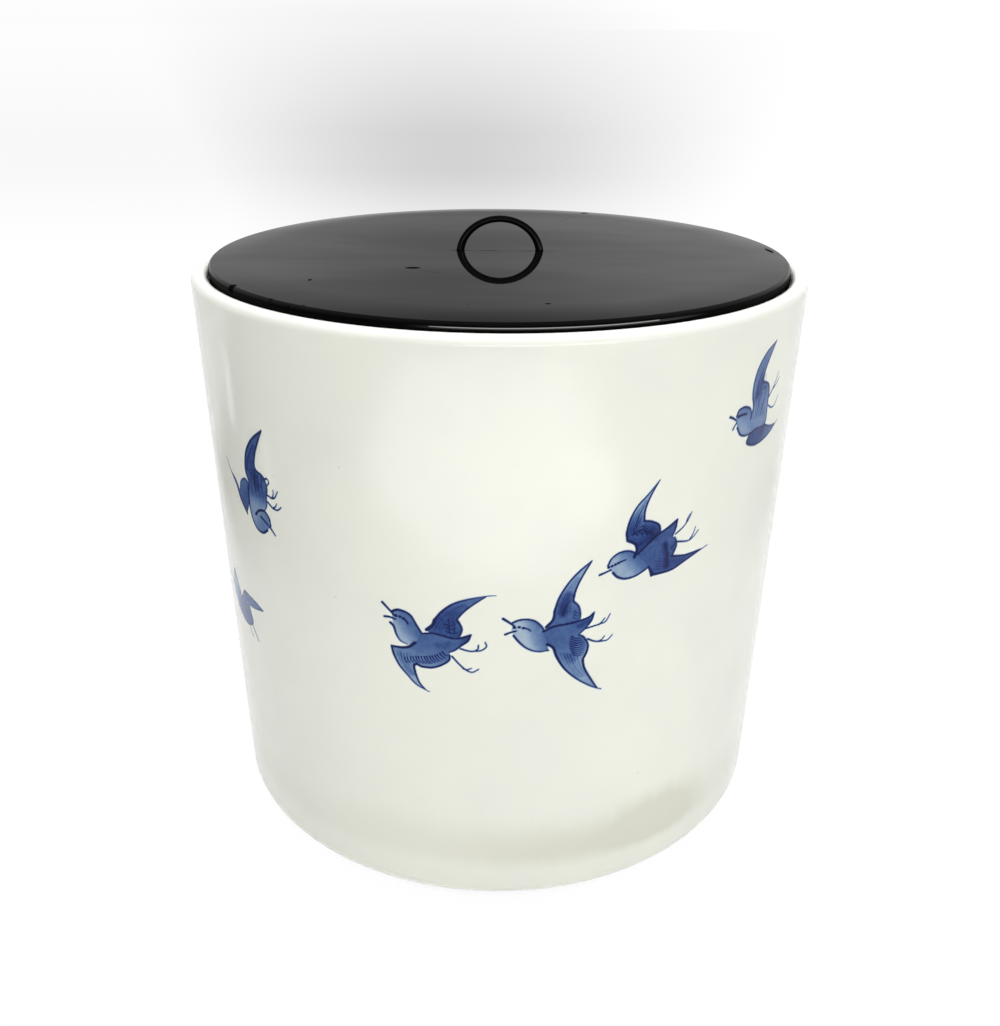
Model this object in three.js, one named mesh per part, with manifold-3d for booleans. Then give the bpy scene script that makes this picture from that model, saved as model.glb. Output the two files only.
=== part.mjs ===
// A lidded water jar of the tea room, in millimetres, +Z up, with its origin under the middle of the foot.
//
// The jar is a thrown porcelain cylinder. It stands on a low foot ring, turns up through a short round heel
// into a nearly upright wall, and ends in a plump lip. Inside the lip a thrown ledge carries the lid, so that
// the lid lies in the mouth and stands only a little proud of the lip. The lid is a thin lacquered board with
// a rolled edge. A low arch is tenoned into it: its two feet are cut level, stand on the board, and each has
// a thin tenon that goes down into a blind mortise.

import * as THREE from "three";
import { mergeVertices } from "three/addons/utils/BufferGeometryUtils.js";
import Module from "manifold-3d";

const wasm = await Module();
wasm.setup();

// Driving dimensions of the jar
const rimRadius = 87.5;
const rimHeight = 171.8;
const lipWidth = 4.5;
const lipOuterRound = 2.4;
const lipInnerRound = 1.9;
const wallLean = 0.3;
const wallThickness = 4.8;
const wallGainAtHeel = 1.6;
const heelWidth = 10.5;
const heelHeight = 8.8;
const innerHeelRadius = 16;
const floorThickness = 6.2;
const floorDish = 1.2;
const footHeight = 2.6;
const footOuterRadius = 68;
const footWidth = 5.5;
const footRound = 0.8;
const footRecess = 1.6;
const recessFillet = 2.2;

// Driving dimensions of the ledge that carries the lid
const lidSink = 3.6;
const ledgeWidth = 4.8;
const ledgeNose = 1.1;
const ledgeThickness = 3.2;
const ledgeTaper = 8.5;
const ledgeFillet = 0.5;

// Driving dimensions of the lid
const lidClearance = 0.4;
const lidThickness = 5.9;
const lidEdgeRollWidth = 2.5;
const lidEdgeRollDrop = 1.9;
const lidUnderRound = 0.8;
const lidReliefWidth = 12;
const lidReliefDepth = 0.5;
const lidReliefFillet = 0.5;

// Driving dimensions of the arch handle
const archHalfWidth = 12.7;
const archHeight = 9.6;
const archCentreDrop = 1;
const barFootThickness = 2.4;
const barCrownThickness = 1.8;
const tenonThickness = 1.4;
const tenonDepth = 3.2;
const tenonClearance = 0.15;
const tenonRoot = 1;

// Facets
const roundSteps = 72;
const fineBend = 3;
const ledgeBend = 4;
const lipBend = 5;
const rollBend = 7;
const heelBend = 9;
const taperSteps = 5;
const barSteps = 30;
const barSides = 16;

// Sizes that follow
const mouthRadius = rimRadius - lipWidth;
const ledgeHeight = rimHeight - lidSink;
const ledgeInnerRadius = mouthRadius - ledgeWidth;
const heelRadius = rimRadius - wallLean;
const innerHeelWall = heelRadius - wallThickness - wallGainAtHeel;
const innerTopWall = rimRadius - wallThickness;
const recessHeight = footHeight + footRecess;
const floorHeight = recessHeight + floorThickness;
const footInnerRadius = footOuterRadius - footWidth;
const lidRadius = mouthRadius - lidClearance;
const ledgeContact = lidRadius - lidUnderRound;
const reliefRadius = ledgeContact - lidReliefWidth;
const archAxisHalfWidth = archHalfWidth - barFootThickness / 2;
const archAxisHeight = archHeight - barCrownThickness / 2;
const quarterTurn = Math.PI / 2;
const halfTurn = Math.PI;

// Points of a quarter ellipse about a centre, from one angle to the other
function bend(centreR, centreZ, radiusR, radiusZ, fromAngle, toAngle, steps) {
  const points = [];
  for (let i = 0; i <= steps; i += 1) {
    const angle = THREE.MathUtils.lerp(fromAngle, toAngle, i / steps);
    const r = centreR + radiusR * Math.cos(angle);
    const z = centreZ + radiusZ * Math.sin(angle);
    points.push(new THREE.Vector2(r, z));
  }
  return points;
}

// Points of a smooth S from one radius and height to another, upright at both ends
function ease(fromR, fromZ, toR, toZ, steps) {
  const points = [];
  for (let i = 1; i < steps; i += 1) {
    const share = i / steps;
    const r = THREE.MathUtils.lerp(fromR, toR, THREE.MathUtils.smoothstep(share, 0, 1));
    const z = THREE.MathUtils.lerp(fromZ, toZ, share);
    points.push(new THREE.Vector2(r, z));
  }
  return points;
}

function at(r, z) {
  return new THREE.Vector2(r, z);
}

// Turns a profile that starts and ends on the axis round +Z
function turned(profile) {
  return new THREE.LatheGeometry(profile, roundSteps).rotateX(quarterTurn);
}

function toSolid(geometry) {
  const bare = geometry.clone();
  bare.deleteAttribute("normal");
  bare.deleteAttribute("uv");
  const welded = mergeVertices(bare);
  const vertProperties = new Float32Array(welded.attributes.position.array);
  const triVerts = new Uint32Array(welded.index.array);
  return new wasm.Manifold(new wasm.Mesh({ numProp: 3, vertProperties, triVerts }));
}

function toGeometry(solid) {
  const mesh = solid.getMesh();
  const geometry = new THREE.BufferGeometry();
  geometry.setAttribute("position", new THREE.BufferAttribute(mesh.vertProperties, 3));
  geometry.setIndex(new THREE.BufferAttribute(mesh.triVerts, 1));
  geometry.computeVertexNormals();
  return geometry;
}

// An upright round peg or hole at one end of the arch
function uprightPeg(radius, bottom, top, x) {
  const length = top - bottom;
  const geometry = new THREE.CylinderGeometry(radius, radius, length, barSides);
  return geometry.rotateX(quarterTurn).translate(x, 0, (bottom + top) / 2);
}

// Foot ring and the shallow recess inside it, from the axis outwards
function footProfile() {
  return [
    at(0, recessHeight),
    ...bend(footInnerRadius - recessFillet, recessHeight - recessFillet, recessFillet, recessFillet,
      quarterTurn, 0, ledgeBend),
    ...bend(footInnerRadius + footRound, footRound, footRound, footRound, -halfTurn, -quarterTurn, fineBend),
    ...bend(footOuterRadius - footRound, footRound, footRound, footRound, -quarterTurn, 0, fineBend),
    at(footOuterRadius, footHeight),
  ];
}

// The heel, the outside of the wall and the lip
function outsideProfile() {
  return [
    ...bend(heelRadius - heelWidth, footHeight + heelHeight, heelWidth, heelHeight, -quarterTurn, 0,
      heelBend),
    ...bend(rimRadius - lipOuterRound, rimHeight - lipOuterRound, lipOuterRound, lipOuterRound,
      0, quarterTurn, lipBend),
    ...bend(mouthRadius + lipInnerRound, rimHeight - lipInnerRound, lipInnerRound, lipInnerRound,
      quarterTurn, halfTurn, lipBend),
  ];
}

// The ledge under the lid, then the inside of the wall down to the dished floor
function insideProfile() {
  const ledgeFoot = ledgeHeight - ledgeThickness;
  const taperFoot = ledgeFoot - ledgeTaper;
  const innerHeelTop = floorHeight + floorDish + innerHeelRadius;
  return [
    ...bend(mouthRadius - ledgeFillet, ledgeHeight + ledgeFillet, ledgeFillet, ledgeFillet,
      0, -quarterTurn, fineBend),
    ...bend(ledgeInnerRadius + ledgeNose, ledgeHeight - ledgeNose, ledgeNose, ledgeNose,
      quarterTurn, halfTurn, ledgeBend),
    at(ledgeInnerRadius, ledgeFoot),
    ...ease(ledgeInnerRadius, ledgeFoot, innerTopWall, taperFoot, taperSteps),
    at(innerTopWall, taperFoot),
    ...bend(innerHeelWall - innerHeelRadius, innerHeelTop, innerHeelRadius, innerHeelRadius,
      0, -quarterTurn, rollBend),
    at((innerHeelWall - innerHeelRadius) / 2, floorHeight + floorDish / 4),
    at(0, floorHeight),
  ];
}

function jarBody() {
  return turned([...footProfile(), ...outsideProfile(), ...insideProfile()]);
}

// The board stands on its rim, so that the ledge carries it on a ring and a shallow relief lies inside that
function lidBoard() {
  const board = toSolid(turned([
    at(0, lidReliefDepth),
    at(reliefRadius, lidReliefDepth),
    at(reliefRadius + lidReliefFillet, 0),
    ...bend(lidRadius - lidUnderRound, lidUnderRound, lidUnderRound, lidUnderRound, -quarterTurn, 0,
      fineBend),
    ...bend(lidRadius - lidEdgeRollWidth, lidThickness - lidEdgeRollDrop, lidEdgeRollWidth,
      lidEdgeRollDrop, 0, quarterTurn, rollBend),
    at(0, lidThickness),
  ]));
  const holeRadius = tenonThickness / 2 + tenonClearance;
  const holeBottom = lidThickness - tenonDepth - tenonClearance;
  const holeTop = lidThickness + tenonRoot;
  const left = toSolid(uprightPeg(holeRadius, holeBottom, holeTop, -archAxisHalfWidth));
  const right = toSolid(uprightPeg(holeRadius, holeBottom, holeTop, archAxisHalfWidth));
  return toGeometry(board.subtract(left).subtract(right));
}

// The middle line of the arch: most of a half ellipse, whose centre lies a little below the feet
class ArchLine extends THREE.Curve {
  constructor() {
    super();
    this.centreDrop = archCentreDrop;
    this.halfHeight = archAxisHeight + archCentreDrop;
    this.endAngle = -Math.asin((archCentreDrop + barFootThickness) / this.halfHeight);
    const feetShare = Math.cos(Math.asin(archCentreDrop / this.halfHeight));
    this.halfWidth = archAxisHalfWidth / feetShare;
  }

  angleAt(share) {
    return THREE.MathUtils.lerp(halfTurn - this.endAngle, this.endAngle, share);
  }

  pointAtAngle(angle, target = new THREE.Vector3()) {
    const x = this.halfWidth * Math.cos(angle);
    const z = this.halfHeight * Math.sin(angle) - this.centreDrop;
    return target.set(x, 0, z);
  }

  getPoint(share, target = new THREE.Vector3()) {
    return this.pointAtAngle(this.angleAt(share), target);
  }
}

// Thins the swept bar from its feet to its crown
function thinToCrown(geometry, line) {
  const positions = geometry.attributes.position;
  const vertex = new THREE.Vector3();
  const middle = new THREE.Vector3();
  for (let i = 0; i < positions.count; i += 1) {
    vertex.fromBufferAttribute(positions, i);
    const up = (vertex.z + line.centreDrop) / line.halfHeight;
    const across = vertex.x / line.halfWidth;
    const angle = Math.atan2(up, across);
    line.pointAtAngle(angle, middle);
    const rise = Math.max(0, Math.sin(angle));
    const thickness = THREE.MathUtils.lerp(barFootThickness, barCrownThickness, rise);
    vertex.sub(middle).multiplyScalar(thickness / barFootThickness).add(middle);
    positions.setXYZ(i, vertex.x, vertex.y, vertex.z);
  }
  return geometry;
}

function lidHandle() {
  const line = new ArchLine();
  const section = new THREE.Shape().absarc(0, 0, barFootThickness / 2, 0, 2 * halfTurn);
  const bar = new THREE.ExtrudeGeometry(section, {
    steps: barSteps,
    curveSegments: barSides / 2,
    extrudePath: line,
  });
  const depth = 2 * (line.centreDrop + barFootThickness + line.halfHeight);
  const floor = new THREE.BoxGeometry(4 * archHalfWidth, depth, depth).translate(0, 0, -depth / 2);
  const tenonRadius = tenonThickness / 2;
  const left = toSolid(uprightPeg(tenonRadius, -tenonDepth, tenonRoot, -archAxisHalfWidth));
  const right = toSolid(uprightPeg(tenonRadius, -tenonDepth, tenonRoot, archAxisHalfWidth));
  const arch = toSolid(thinToCrown(bar, line)).subtract(toSolid(floor));
  return toGeometry(arch.add(left).add(right));
}

function piece(name, geometry, material) {
  const mesh = new THREE.Mesh(geometry, material);
  mesh.name = name;
  return mesh;
}

const porcelain = new THREE.MeshStandardMaterial({ color: 0xe9ebe0, roughness: 0.18, metalness: 0 });
const boardLacquer = new THREE.MeshStandardMaterial({ color: 0x0a0a0b, roughness: 0.08, metalness: 0 });
const archLacquer = new THREE.MeshStandardMaterial({ color: 0x060606, roughness: 0.1, metalness: 0 });

const lid = new THREE.Group();
lid.position.set(0, 0, ledgeHeight);
lid.add(piece("lid_board", lidBoard(), boardLacquer));
const handle = piece("lid_handle", lidHandle(), archLacquer);
handle.position.set(0, 0, lidThickness);
lid.add(handle);

const waterJar = new THREE.Group();
waterJar.add(piece("jar_body", jarBody(), porcelain));
waterJar.add(lid);

export default waterJar;
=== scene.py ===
"""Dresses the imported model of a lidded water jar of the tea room.

The jar is white glazed porcelain with plovers painted in blue under the glaze. Its lid is a board of black
lacquered wood with a low arch for a handle. The script makes the jar, the birds, the board, the arch and a
pale studio with its camera, each with its own operator.
"""

import math
import bmesh
import bpy
import numpy as np
from bpy.props import FloatProperty, FloatVectorProperty, IntProperty, PointerProperty
from bpy.types import Operator, Panel, PropertyGroup
from mathutils import Matrix, Vector


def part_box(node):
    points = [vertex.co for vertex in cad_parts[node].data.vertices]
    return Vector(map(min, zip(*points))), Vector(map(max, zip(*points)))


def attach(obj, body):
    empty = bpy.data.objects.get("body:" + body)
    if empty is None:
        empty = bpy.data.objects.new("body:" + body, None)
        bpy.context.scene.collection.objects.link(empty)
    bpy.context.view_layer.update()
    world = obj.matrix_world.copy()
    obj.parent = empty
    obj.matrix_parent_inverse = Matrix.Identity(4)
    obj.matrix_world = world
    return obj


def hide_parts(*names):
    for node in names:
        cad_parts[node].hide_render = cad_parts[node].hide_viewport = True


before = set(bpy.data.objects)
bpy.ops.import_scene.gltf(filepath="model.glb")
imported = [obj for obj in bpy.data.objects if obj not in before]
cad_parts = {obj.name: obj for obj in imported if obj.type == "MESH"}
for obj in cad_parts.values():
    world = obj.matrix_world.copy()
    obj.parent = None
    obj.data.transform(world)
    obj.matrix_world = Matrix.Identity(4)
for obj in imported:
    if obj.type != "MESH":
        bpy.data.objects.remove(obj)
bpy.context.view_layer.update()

bl_info = {
    "name": "Lidded Water Jar",
    "version": (1, 0, 0),
    "blender": (4, 5, 0),
    "location": "3D View > Sidebar > Water Jar",
    "description": "Porcelain water jar with painted plovers and a lacquered lid",
    "category": "Object",
}

MM = 0.001
TOUCHING = 1e-7
MERGE_GAP = 1e-6

JAR_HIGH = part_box("jar_body")[1]
BOARD_LOW, BOARD_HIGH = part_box("lid_board")
ARCH_LOW, ARCH_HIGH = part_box("lid_handle")


def length(name, description, default, low=0.0):
    """A size in metres that a user can change."""
    return FloatProperty(
        name=name, description=description, default=default, min=low, unit="LENGTH", precision=5
    )


def colour(name, description, default):
    """A colour written as red, green and blue from 0 to 255."""
    shades = [linear(part / 255) for part in default]
    return FloatVectorProperty(
        name=name, description=description, default=shades, size=3, min=0.0, max=1.0, subtype="COLOR"
    )


def power(name, description, default):
    """The power of a lamp in watts."""
    return FloatProperty(name=name, description=description, default=default, min=0.0)


def linear(shade):
    """Screen brightness turned into the light it stands for."""
    if shade <= 0.04045:
        return shade / 12.92
    return ((shade + 0.055) / 1.055) ** 2.4


# Sizes and colours


class JarSizes(PropertyGroup):
    """Sizes of the porcelain jar."""

    rim_radius: length("Rim radius", "Outside radius at the lip", JAR_HIGH.x)
    rim_height: length("Rim height", "Height of the lip above the table", JAR_HIGH.z)
    lip_width: length("Lip width", "Width of the lip around the lid", 4.5 * MM)
    lip_outer_round: length("Outer lip round", "Radius of the outer edge of the lip", 2.4 * MM)
    lip_inner_round: length("Inner lip round", "Radius of the inner edge of the lip", 1.9 * MM)
    wall_lean: length("Wall lean", "How far the wall draws in from lip to heel", 0.3 * MM)
    wall_thickness: length("Wall", "Thickness of the wall near the top", 4.8 * MM)
    wall_gain: length("Wall gain", "Extra thickness of the wall at the heel", 1.6 * MM)
    heel_width: length("Heel width", "Width of the round heel", 10.5 * MM)
    heel_height: length("Heel height", "Height of the round heel", 8.8 * MM)
    inner_heel_radius: length("Inner heel", "Radius where the wall meets the floor inside", 16 * MM)
    floor_thickness: length("Floor", "Thickness of the floor", 6.2 * MM)
    floor_dish: length("Floor dish", "How far the floor falls to its middle", 1.2 * MM)
    foot_height: length("Foot height", "Height of the foot ring", 2.6 * MM)
    foot_outer_radius: length("Foot radius", "Outside radius of the foot ring", 68 * MM)
    foot_width: length("Foot width", "Width of the foot ring", 5.5 * MM)
    foot_round: length("Foot round", "Radius of the edges of the foot ring", 0.8 * MM)
    foot_recess: length("Foot recess", "How far the base lies above the heel", 1.6 * MM)
    recess_fillet: length("Recess fillet", "Radius inside the foot ring", 2.2 * MM)
    lid_sink: length("Lid sink", "Depth of the ledge below the lip", JAR_HIGH.z - BOARD_LOW.z)
    ledge_width: length("Ledge width", "Width of the ledge that carries the lid", 4.8 * MM)
    ledge_nose: length("Ledge nose", "Radius of the inner edge of the ledge", 1.1 * MM)
    ledge_thickness: length("Ledge thickness", "Thickness of the ledge", 3.2 * MM)
    ledge_taper: length("Ledge taper", "Height over which the ledge runs into the wall", 8.5 * MM)
    ledge_fillet: length("Ledge fillet", "Radius where the ledge meets the lip", 0.5 * MM)
    steps: IntProperty(name="Steps round", description="Facets round the jar", default=384, min=48)


class LidSizes(PropertyGroup):
    """Sizes of the lacquered lid and its arch."""

    radius: length("Radius", "Outside radius of the board", BOARD_HIGH.x)
    edge_roll_width: length("Roll width", "Width of the rolled upper edge", 1.0 * MM)
    edge_roll_drop: length("Roll drop", "Fall of the rolled upper edge", 1.6 * MM)
    camber_width: length("Camber width", "Width of the ring where the top falls to its edge", 12 * MM)
    camber_drop: length("Camber drop", "How far the top falls there", 0.5 * MM)
    under_round: length("Under round", "Radius of the lower edge", 0.8 * MM)
    relief_width: length("Bearing width", "Width of the ring that rests on the ledge", 12 * MM)
    relief_depth: length("Relief", "Depth of the relief inside that ring", 0.5 * MM)
    relief_fillet: length("Relief fillet", "Slope at the edge of the relief", 0.5 * MM)
    foot_thickness: length("Arch at its feet", "Thickness of the arch at its feet", 2.4 * MM)
    crown_thickness: length("Arch at its crown", "Thickness of the arch at its crown", 1.8 * MM)
    centre_drop: length("Arch centre drop", "How far the centre of the arch lies below its feet", 1 * MM)
    tenon_thickness: length("Tenon", "Thickness of the tenons under the arch", 1.4 * MM)
    steps: IntProperty(name="Steps round", description="Facets round the board", default=256, min=48)
    bar_steps: IntProperty(name="Steps along", description="Steps along the arch", default=96, min=16)
    bar_sides: IntProperty(name="Bar sides", description="Facets round the bar", default=32, min=8)


class PaintSizes(PropertyGroup):
    """Sizes of the painted birds."""

    cell: length("Cell", "Spacing of the points that hold the paint", 0.2 * MM, 0.05 * MM)
    proud: length("Paint height", "How far the painted glaze stands above the wall", 0.03 * MM)
    sunk: length("Paint root", "How far the painted glaze reaches into the wall", 0.02 * MM)


class Colours(PropertyGroup):
    """Colours of the glaze, the paint and the lacquer."""

    glaze: colour("Glaze", "White of the glazed wall", (234, 236, 224))
    glaze_cloud: colour("Glaze cloud", "Faint cooler clouds in the glaze", (229, 232, 222))
    # Darker band above the heel: partly pooled glaze, partly painted shade
    glaze_pool_and_shade: colour("Glaze pool", "Glaze that has gathered above the heel", (214, 216, 201))
    # Paler top of the lip: glaze drawn thin there, and a painted highlight
    thin_glaze_highlight: colour("Thin glaze", "Glaze drawn thin over the lip", (241, 242, 236))
    bare_clay: colour("Bare clay", "Unglazed clay under the foot", (222, 213, 197))
    clay_blush: colour("Clay blush", "Warm line where the glaze stops", (196, 160, 122))
    iron_speck: colour("Iron speck", "Tiny specks in the glaze", (150, 140, 120))
    blue_wash: colour("Blue wash", "A full wash of the blue on the white glaze", (43, 71, 128))
    lacquer: colour("Lacquer", "Black of the lacquer", (10, 9, 9))
    lacquer_worn: colour("Worn lacquer", "Lacquer where the gloss is lost", (6, 6, 6))
    paper: colour("Paper", "The pale floor", (248, 248, 249))


# Meshes

FACING_DOWN = -0.99
AT_THE_CUT = 0.01 * MM


def finish_piece(mesh, name, body, material):
    """Turns a finished bmesh into a piece that rides on a body."""
    data = bpy.data.meshes.new(name)
    mesh.to_mesh(data)
    mesh.free()
    for face in data.polygons:
        face.use_smooth = True
    piece = bpy.data.objects.new(name, data)
    bpy.context.scene.collection.objects.link(piece)
    data.materials.append(material)
    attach(piece, body)
    return piece


class HalfSection:
    """A half section drawn outwards from the axis, point by point, and then turned round +Z."""

    def __init__(self, r, z):
        self.mesh = bmesh.new()
        self.tip = self.mesh.verts.new((r, 0, z))

    def line(self, r, z, steps=1):
        """A straight run to a point."""
        start = self.tip.co.copy()
        goal = Vector((r, 0, z))
        for step in range(steps):
            grown = bmesh.ops.extrude_vert_indiv(self.mesh, verts=[self.tip])
            self.tip = grown["verts"][0]
            self.tip.co = start.lerp(goal, (step + 1) / steps)

    def bend(self, centre, radii, start, end, steps):
        """A part of an ellipse about a centre, from one angle to another in degrees."""
        centre_r, centre_z = centre
        radius_r, radius_z = radii
        first = math.radians(start)
        entry = Vector((centre_r + radius_r * math.cos(first), 0, centre_z + radius_z * math.sin(first)))
        if (self.tip.co - entry).length > TOUCHING:
            self.line(entry.x, entry.z)
        self.tip.co = (entry.x, 0, centre_z + radius_r * math.sin(first))
        before = set(self.mesh.verts)
        swept = bmesh.ops.spin(
            self.mesh,
            geom=[self.tip],
            cent=(centre_r, 0, centre_z),
            axis=(0, 1, 0),
            angle=math.radians(start - end),
            steps=steps,
            use_duplicate=False,
        )
        last = [part for part in swept["geom_last"] if isinstance(part, bmesh.types.BMVert)][0]
        arc = [self.tip] + [vertex for vertex in self.mesh.verts if vertex not in before]
        middle = Matrix.Translation((-centre_r, 0, -centre_z))
        bmesh.ops.scale(self.mesh, verts=arc, vec=(1, 1, radius_z / radius_r), space=middle)
        self.tip = last

    def round(self, centre, radius, start, end, steps):
        """A part of a circle about a centre."""
        self.bend(centre, (radius, radius), start, end, steps)

    def ease(self, r, z, steps):
        """A smooth S to a point, upright at both ends."""
        start = self.tip.co.copy()
        for step in range(steps):
            share = (step + 1) / steps
            blend = share * share * (3 - 2 * share)
            self.line(start.x + (r - start.x) * blend, start.z + (z - start.z) * share)

    def turned(self, steps):
        """The closed shape that the section makes when it is turned."""
        bmesh.ops.spin(
            self.mesh,
            geom=self.mesh.verts[:] + self.mesh.edges[:],
            cent=(0, 0, 0),
            axis=(0, 0, 1),
            angle=math.tau,
            steps=steps,
            use_merge=True,
            use_duplicate=False,
        )
        bmesh.ops.remove_doubles(self.mesh, verts=self.mesh.verts, dist=MERGE_GAP)
        bmesh.ops.recalc_face_normals(self.mesh, faces=self.mesh.faces)
        return self.mesh


def jar_section(jar):
    """Half section of the jar: foot ring, heel, wall, lip, ledge and inside."""
    recess_height = jar.foot_height + jar.foot_recess
    foot_inner = jar.foot_outer_radius - jar.foot_width
    heel_radius = jar.rim_radius - jar.wall_lean
    mouth = jar.rim_radius - jar.lip_width
    ledge_height = jar.rim_height - jar.lid_sink
    ledge_inner = mouth - jar.ledge_width
    ledge_foot = ledge_height - jar.ledge_thickness
    inner_top = jar.rim_radius - jar.wall_thickness
    inner_heel = heel_radius - jar.wall_thickness - jar.wall_gain
    floor_height = recess_height + jar.floor_thickness
    heel_mid = heel_radius - jar.heel_width
    heel_top = jar.foot_height + jar.heel_height

    recess_edge = foot_inner - jar.recess_fillet
    section = HalfSection(0, recess_height)
    section.line(recess_edge, recess_height, 8)
    section.round((recess_edge, recess_height - jar.recess_fillet), jar.recess_fillet, 90, 0, 8)
    section.line(foot_inner, jar.foot_round)
    section.round((foot_inner + jar.foot_round, jar.foot_round), jar.foot_round, 180, 270, 6)
    section.line(jar.foot_outer_radius - jar.foot_round, 0, 3)
    section.round((jar.foot_outer_radius - jar.foot_round, jar.foot_round), jar.foot_round, -90, 0, 6)
    section.line(jar.foot_outer_radius, jar.foot_height, 2)
    section.line(heel_mid, jar.foot_height, 4)
    section.bend((heel_mid, heel_top), (jar.heel_width, jar.heel_height), -90, 0, 20)
    wall_top = jar.rim_height - jar.lip_outer_round
    section.line(jar.rim_radius, wall_top, 40)
    section.round((jar.rim_radius - jar.lip_outer_round, wall_top), jar.lip_outer_round, 0, 90, 14)
    lip_edge = mouth + jar.lip_inner_round
    section.line(lip_edge, jar.rim_height, 3)
    section.round((lip_edge, jar.rim_height - jar.lip_inner_round), jar.lip_inner_round, 90, 180, 8)
    seat_corner = ledge_height + jar.ledge_fillet
    section.line(mouth, seat_corner, 3)
    section.round((mouth - jar.ledge_fillet, seat_corner), jar.ledge_fillet, 0, -90, 5)
    nose = ledge_inner + jar.ledge_nose
    section.line(nose, ledge_height, 4)
    section.round((nose, ledge_height - jar.ledge_nose), jar.ledge_nose, 90, 180, 8)
    section.line(ledge_inner, ledge_foot, 2)
    section.ease(inner_top, ledge_foot - jar.ledge_taper, 12)
    heel_start = floor_height + jar.floor_dish + jar.inner_heel_radius
    section.line(inner_heel, heel_start, 24)
    dish_edge = inner_heel - jar.inner_heel_radius
    section.round((dish_edge, heel_start), jar.inner_heel_radius, 0, -90, 18)
    section.line(dish_edge / 2, floor_height + jar.floor_dish / 4, 6)
    section.line(0, floor_height, 6)
    return section


def board_section(lid):
    """Half section of the lid board, from its relief underneath to its rolled upper edge."""
    bottom = BOARD_LOW.z
    top = BOARD_HIGH.z
    relief = lid.radius - lid.under_round - lid.relief_width
    roll_r = lid.radius - lid.edge_roll_width
    roll_z = top - lid.camber_drop - lid.edge_roll_drop
    under_edge = lid.radius - lid.under_round
    section = HalfSection(0, bottom + lid.relief_depth)
    section.line(relief, bottom + lid.relief_depth, 10)
    section.line(relief + lid.relief_fillet, bottom, 2)
    section.line(under_edge, bottom, 3)
    section.round((under_edge, bottom + lid.under_round), lid.under_round, -90, 0, 8)
    section.line(lid.radius, roll_z, 2)
    section.bend((roll_r, roll_z), (lid.edge_roll_width, lid.edge_roll_drop), 0, 90, 20)
    camber_steps = 12
    for step in range(camber_steps):
        share = (step + 1) / camber_steps
        section.line(roll_r - lid.camber_width * share, top - lid.camber_drop * (1 - share) ** 2)
    section.line(0, top, 24)
    return section


def thin_bar(mesh, centre, half_width, half_height, thin):
    """Moves a round bar from its circle to an ellipse, and thins it towards its crown."""
    for vertex in mesh.verts:
        away = vertex.co - centre
        angle = math.atan2(away.z, away.x)
        heading = Vector((math.cos(angle), 0, math.sin(angle)))
        offset = (away - heading * half_width) * (1 + (thin - 1) * max(0.0, heading.z))
        ellipse = Vector((half_width * heading.x, 0, half_height * heading.z))
        slope = Vector((heading.x / half_width, 0, heading.z / half_height)).normalized()
        vertex.co = centre + ellipse + slope * offset.dot(heading) + Vector((0, offset.y, 0))


def add_tenons(mesh, lid, base):
    """Grows a thinner tenon down from the level cut of each foot."""
    feet = []
    for face in mesh.faces:
        if face.normal.z < FACING_DOWN and face.calc_center_median().z < base + AT_THE_CUT:
            feet.append(face)
    shoulder = (lid.foot_thickness - lid.tenon_thickness) / 2
    for foot in feet:
        bmesh.ops.inset_region(mesh, faces=[foot], thickness=shoulder, use_even_offset=True)
        grown = bmesh.ops.extrude_face_region(mesh, geom=[foot])
        bmesh.ops.delete(mesh, geom=[foot], context="FACES_ONLY")
        lower = [part for part in grown["geom"] if isinstance(part, bmesh.types.BMVert)]
        bmesh.ops.translate(mesh, verts=lower, vec=(0, 0, ARCH_LOW.z - base))


def arch_mesh(lid):
    """The arch: a round bar bent to most of a half ellipse and cut level at its feet, with its tenons."""
    base = BOARD_HIGH.z
    half_span = ARCH_HIGH.x - lid.foot_thickness / 2
    crown = ARCH_HIGH.z - base - lid.crown_thickness / 2
    half_height = crown + lid.centre_drop
    centre = Vector((0, 0, base - lid.centre_drop))
    half_width = half_span / math.cos(math.asin(lid.centre_drop / half_height))
    overrun = math.asin((lid.centre_drop + lid.foot_thickness) / half_height)

    mesh = bmesh.new()
    bmesh.ops.create_circle(
        mesh,
        cap_ends=True,
        radius=lid.foot_thickness / 2,
        segments=lid.bar_sides,
        matrix=Matrix.Translation(centre + Vector((half_width, 0, 0))),
    )
    bmesh.ops.rotate(mesh, verts=mesh.verts, cent=centre, matrix=Matrix.Rotation(overrun, 3, "Y"))
    bmesh.ops.spin(
        mesh,
        geom=mesh.verts[:] + mesh.edges[:] + mesh.faces[:],
        cent=centre,
        axis=(0, 1, 0),
        angle=-(math.pi + 2 * overrun),
        steps=lid.bar_steps,
        use_duplicate=False,
    )
    thin_bar(mesh, centre, half_width, half_height, lid.crown_thickness / lid.foot_thickness)
    bmesh.ops.bisect_plane(
        mesh,
        geom=mesh.verts[:] + mesh.edges[:] + mesh.faces[:],
        plane_co=(0, 0, base),
        plane_no=(0, 0, 1),
        clear_inner=True,
    )
    bmesh.ops.holes_fill(mesh, edges=mesh.edges)
    bmesh.ops.recalc_face_normals(mesh, faces=mesh.faces)
    add_tenons(mesh, lid, base)
    bmesh.ops.recalc_face_normals(mesh, faces=mesh.faces)
    return mesh


# Painting

NO_LENGTH = 1e-9


def curve_through(points, per_span=8):
    """A smooth curve through given points."""
    knots = np.array(points, float)
    if len(knots) < 3:
        shares = np.linspace(0, 1, per_span + 1)[:, None]
        return knots[0] + (knots[-1] - knots[0]) * shares
    ends = np.vstack([2 * knots[0] - knots[1], knots, 2 * knots[-1] - knots[-2]])
    shares = np.linspace(0, 1, per_span, endpoint=False)[:, None]
    parts = []
    for a, b, c, d in zip(ends[:-3], ends[1:-2], ends[2:-1], ends[3:]):
        parts.append(
            0.5 * (2 * b + (c - a) * shares + (2 * a - 5 * b + 4 * c - d) * shares**2
                   + (3 * b - a - 3 * c + d) * shares**3)
        )
    parts.append(knots[-1:])
    return np.vstack(parts)


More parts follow.
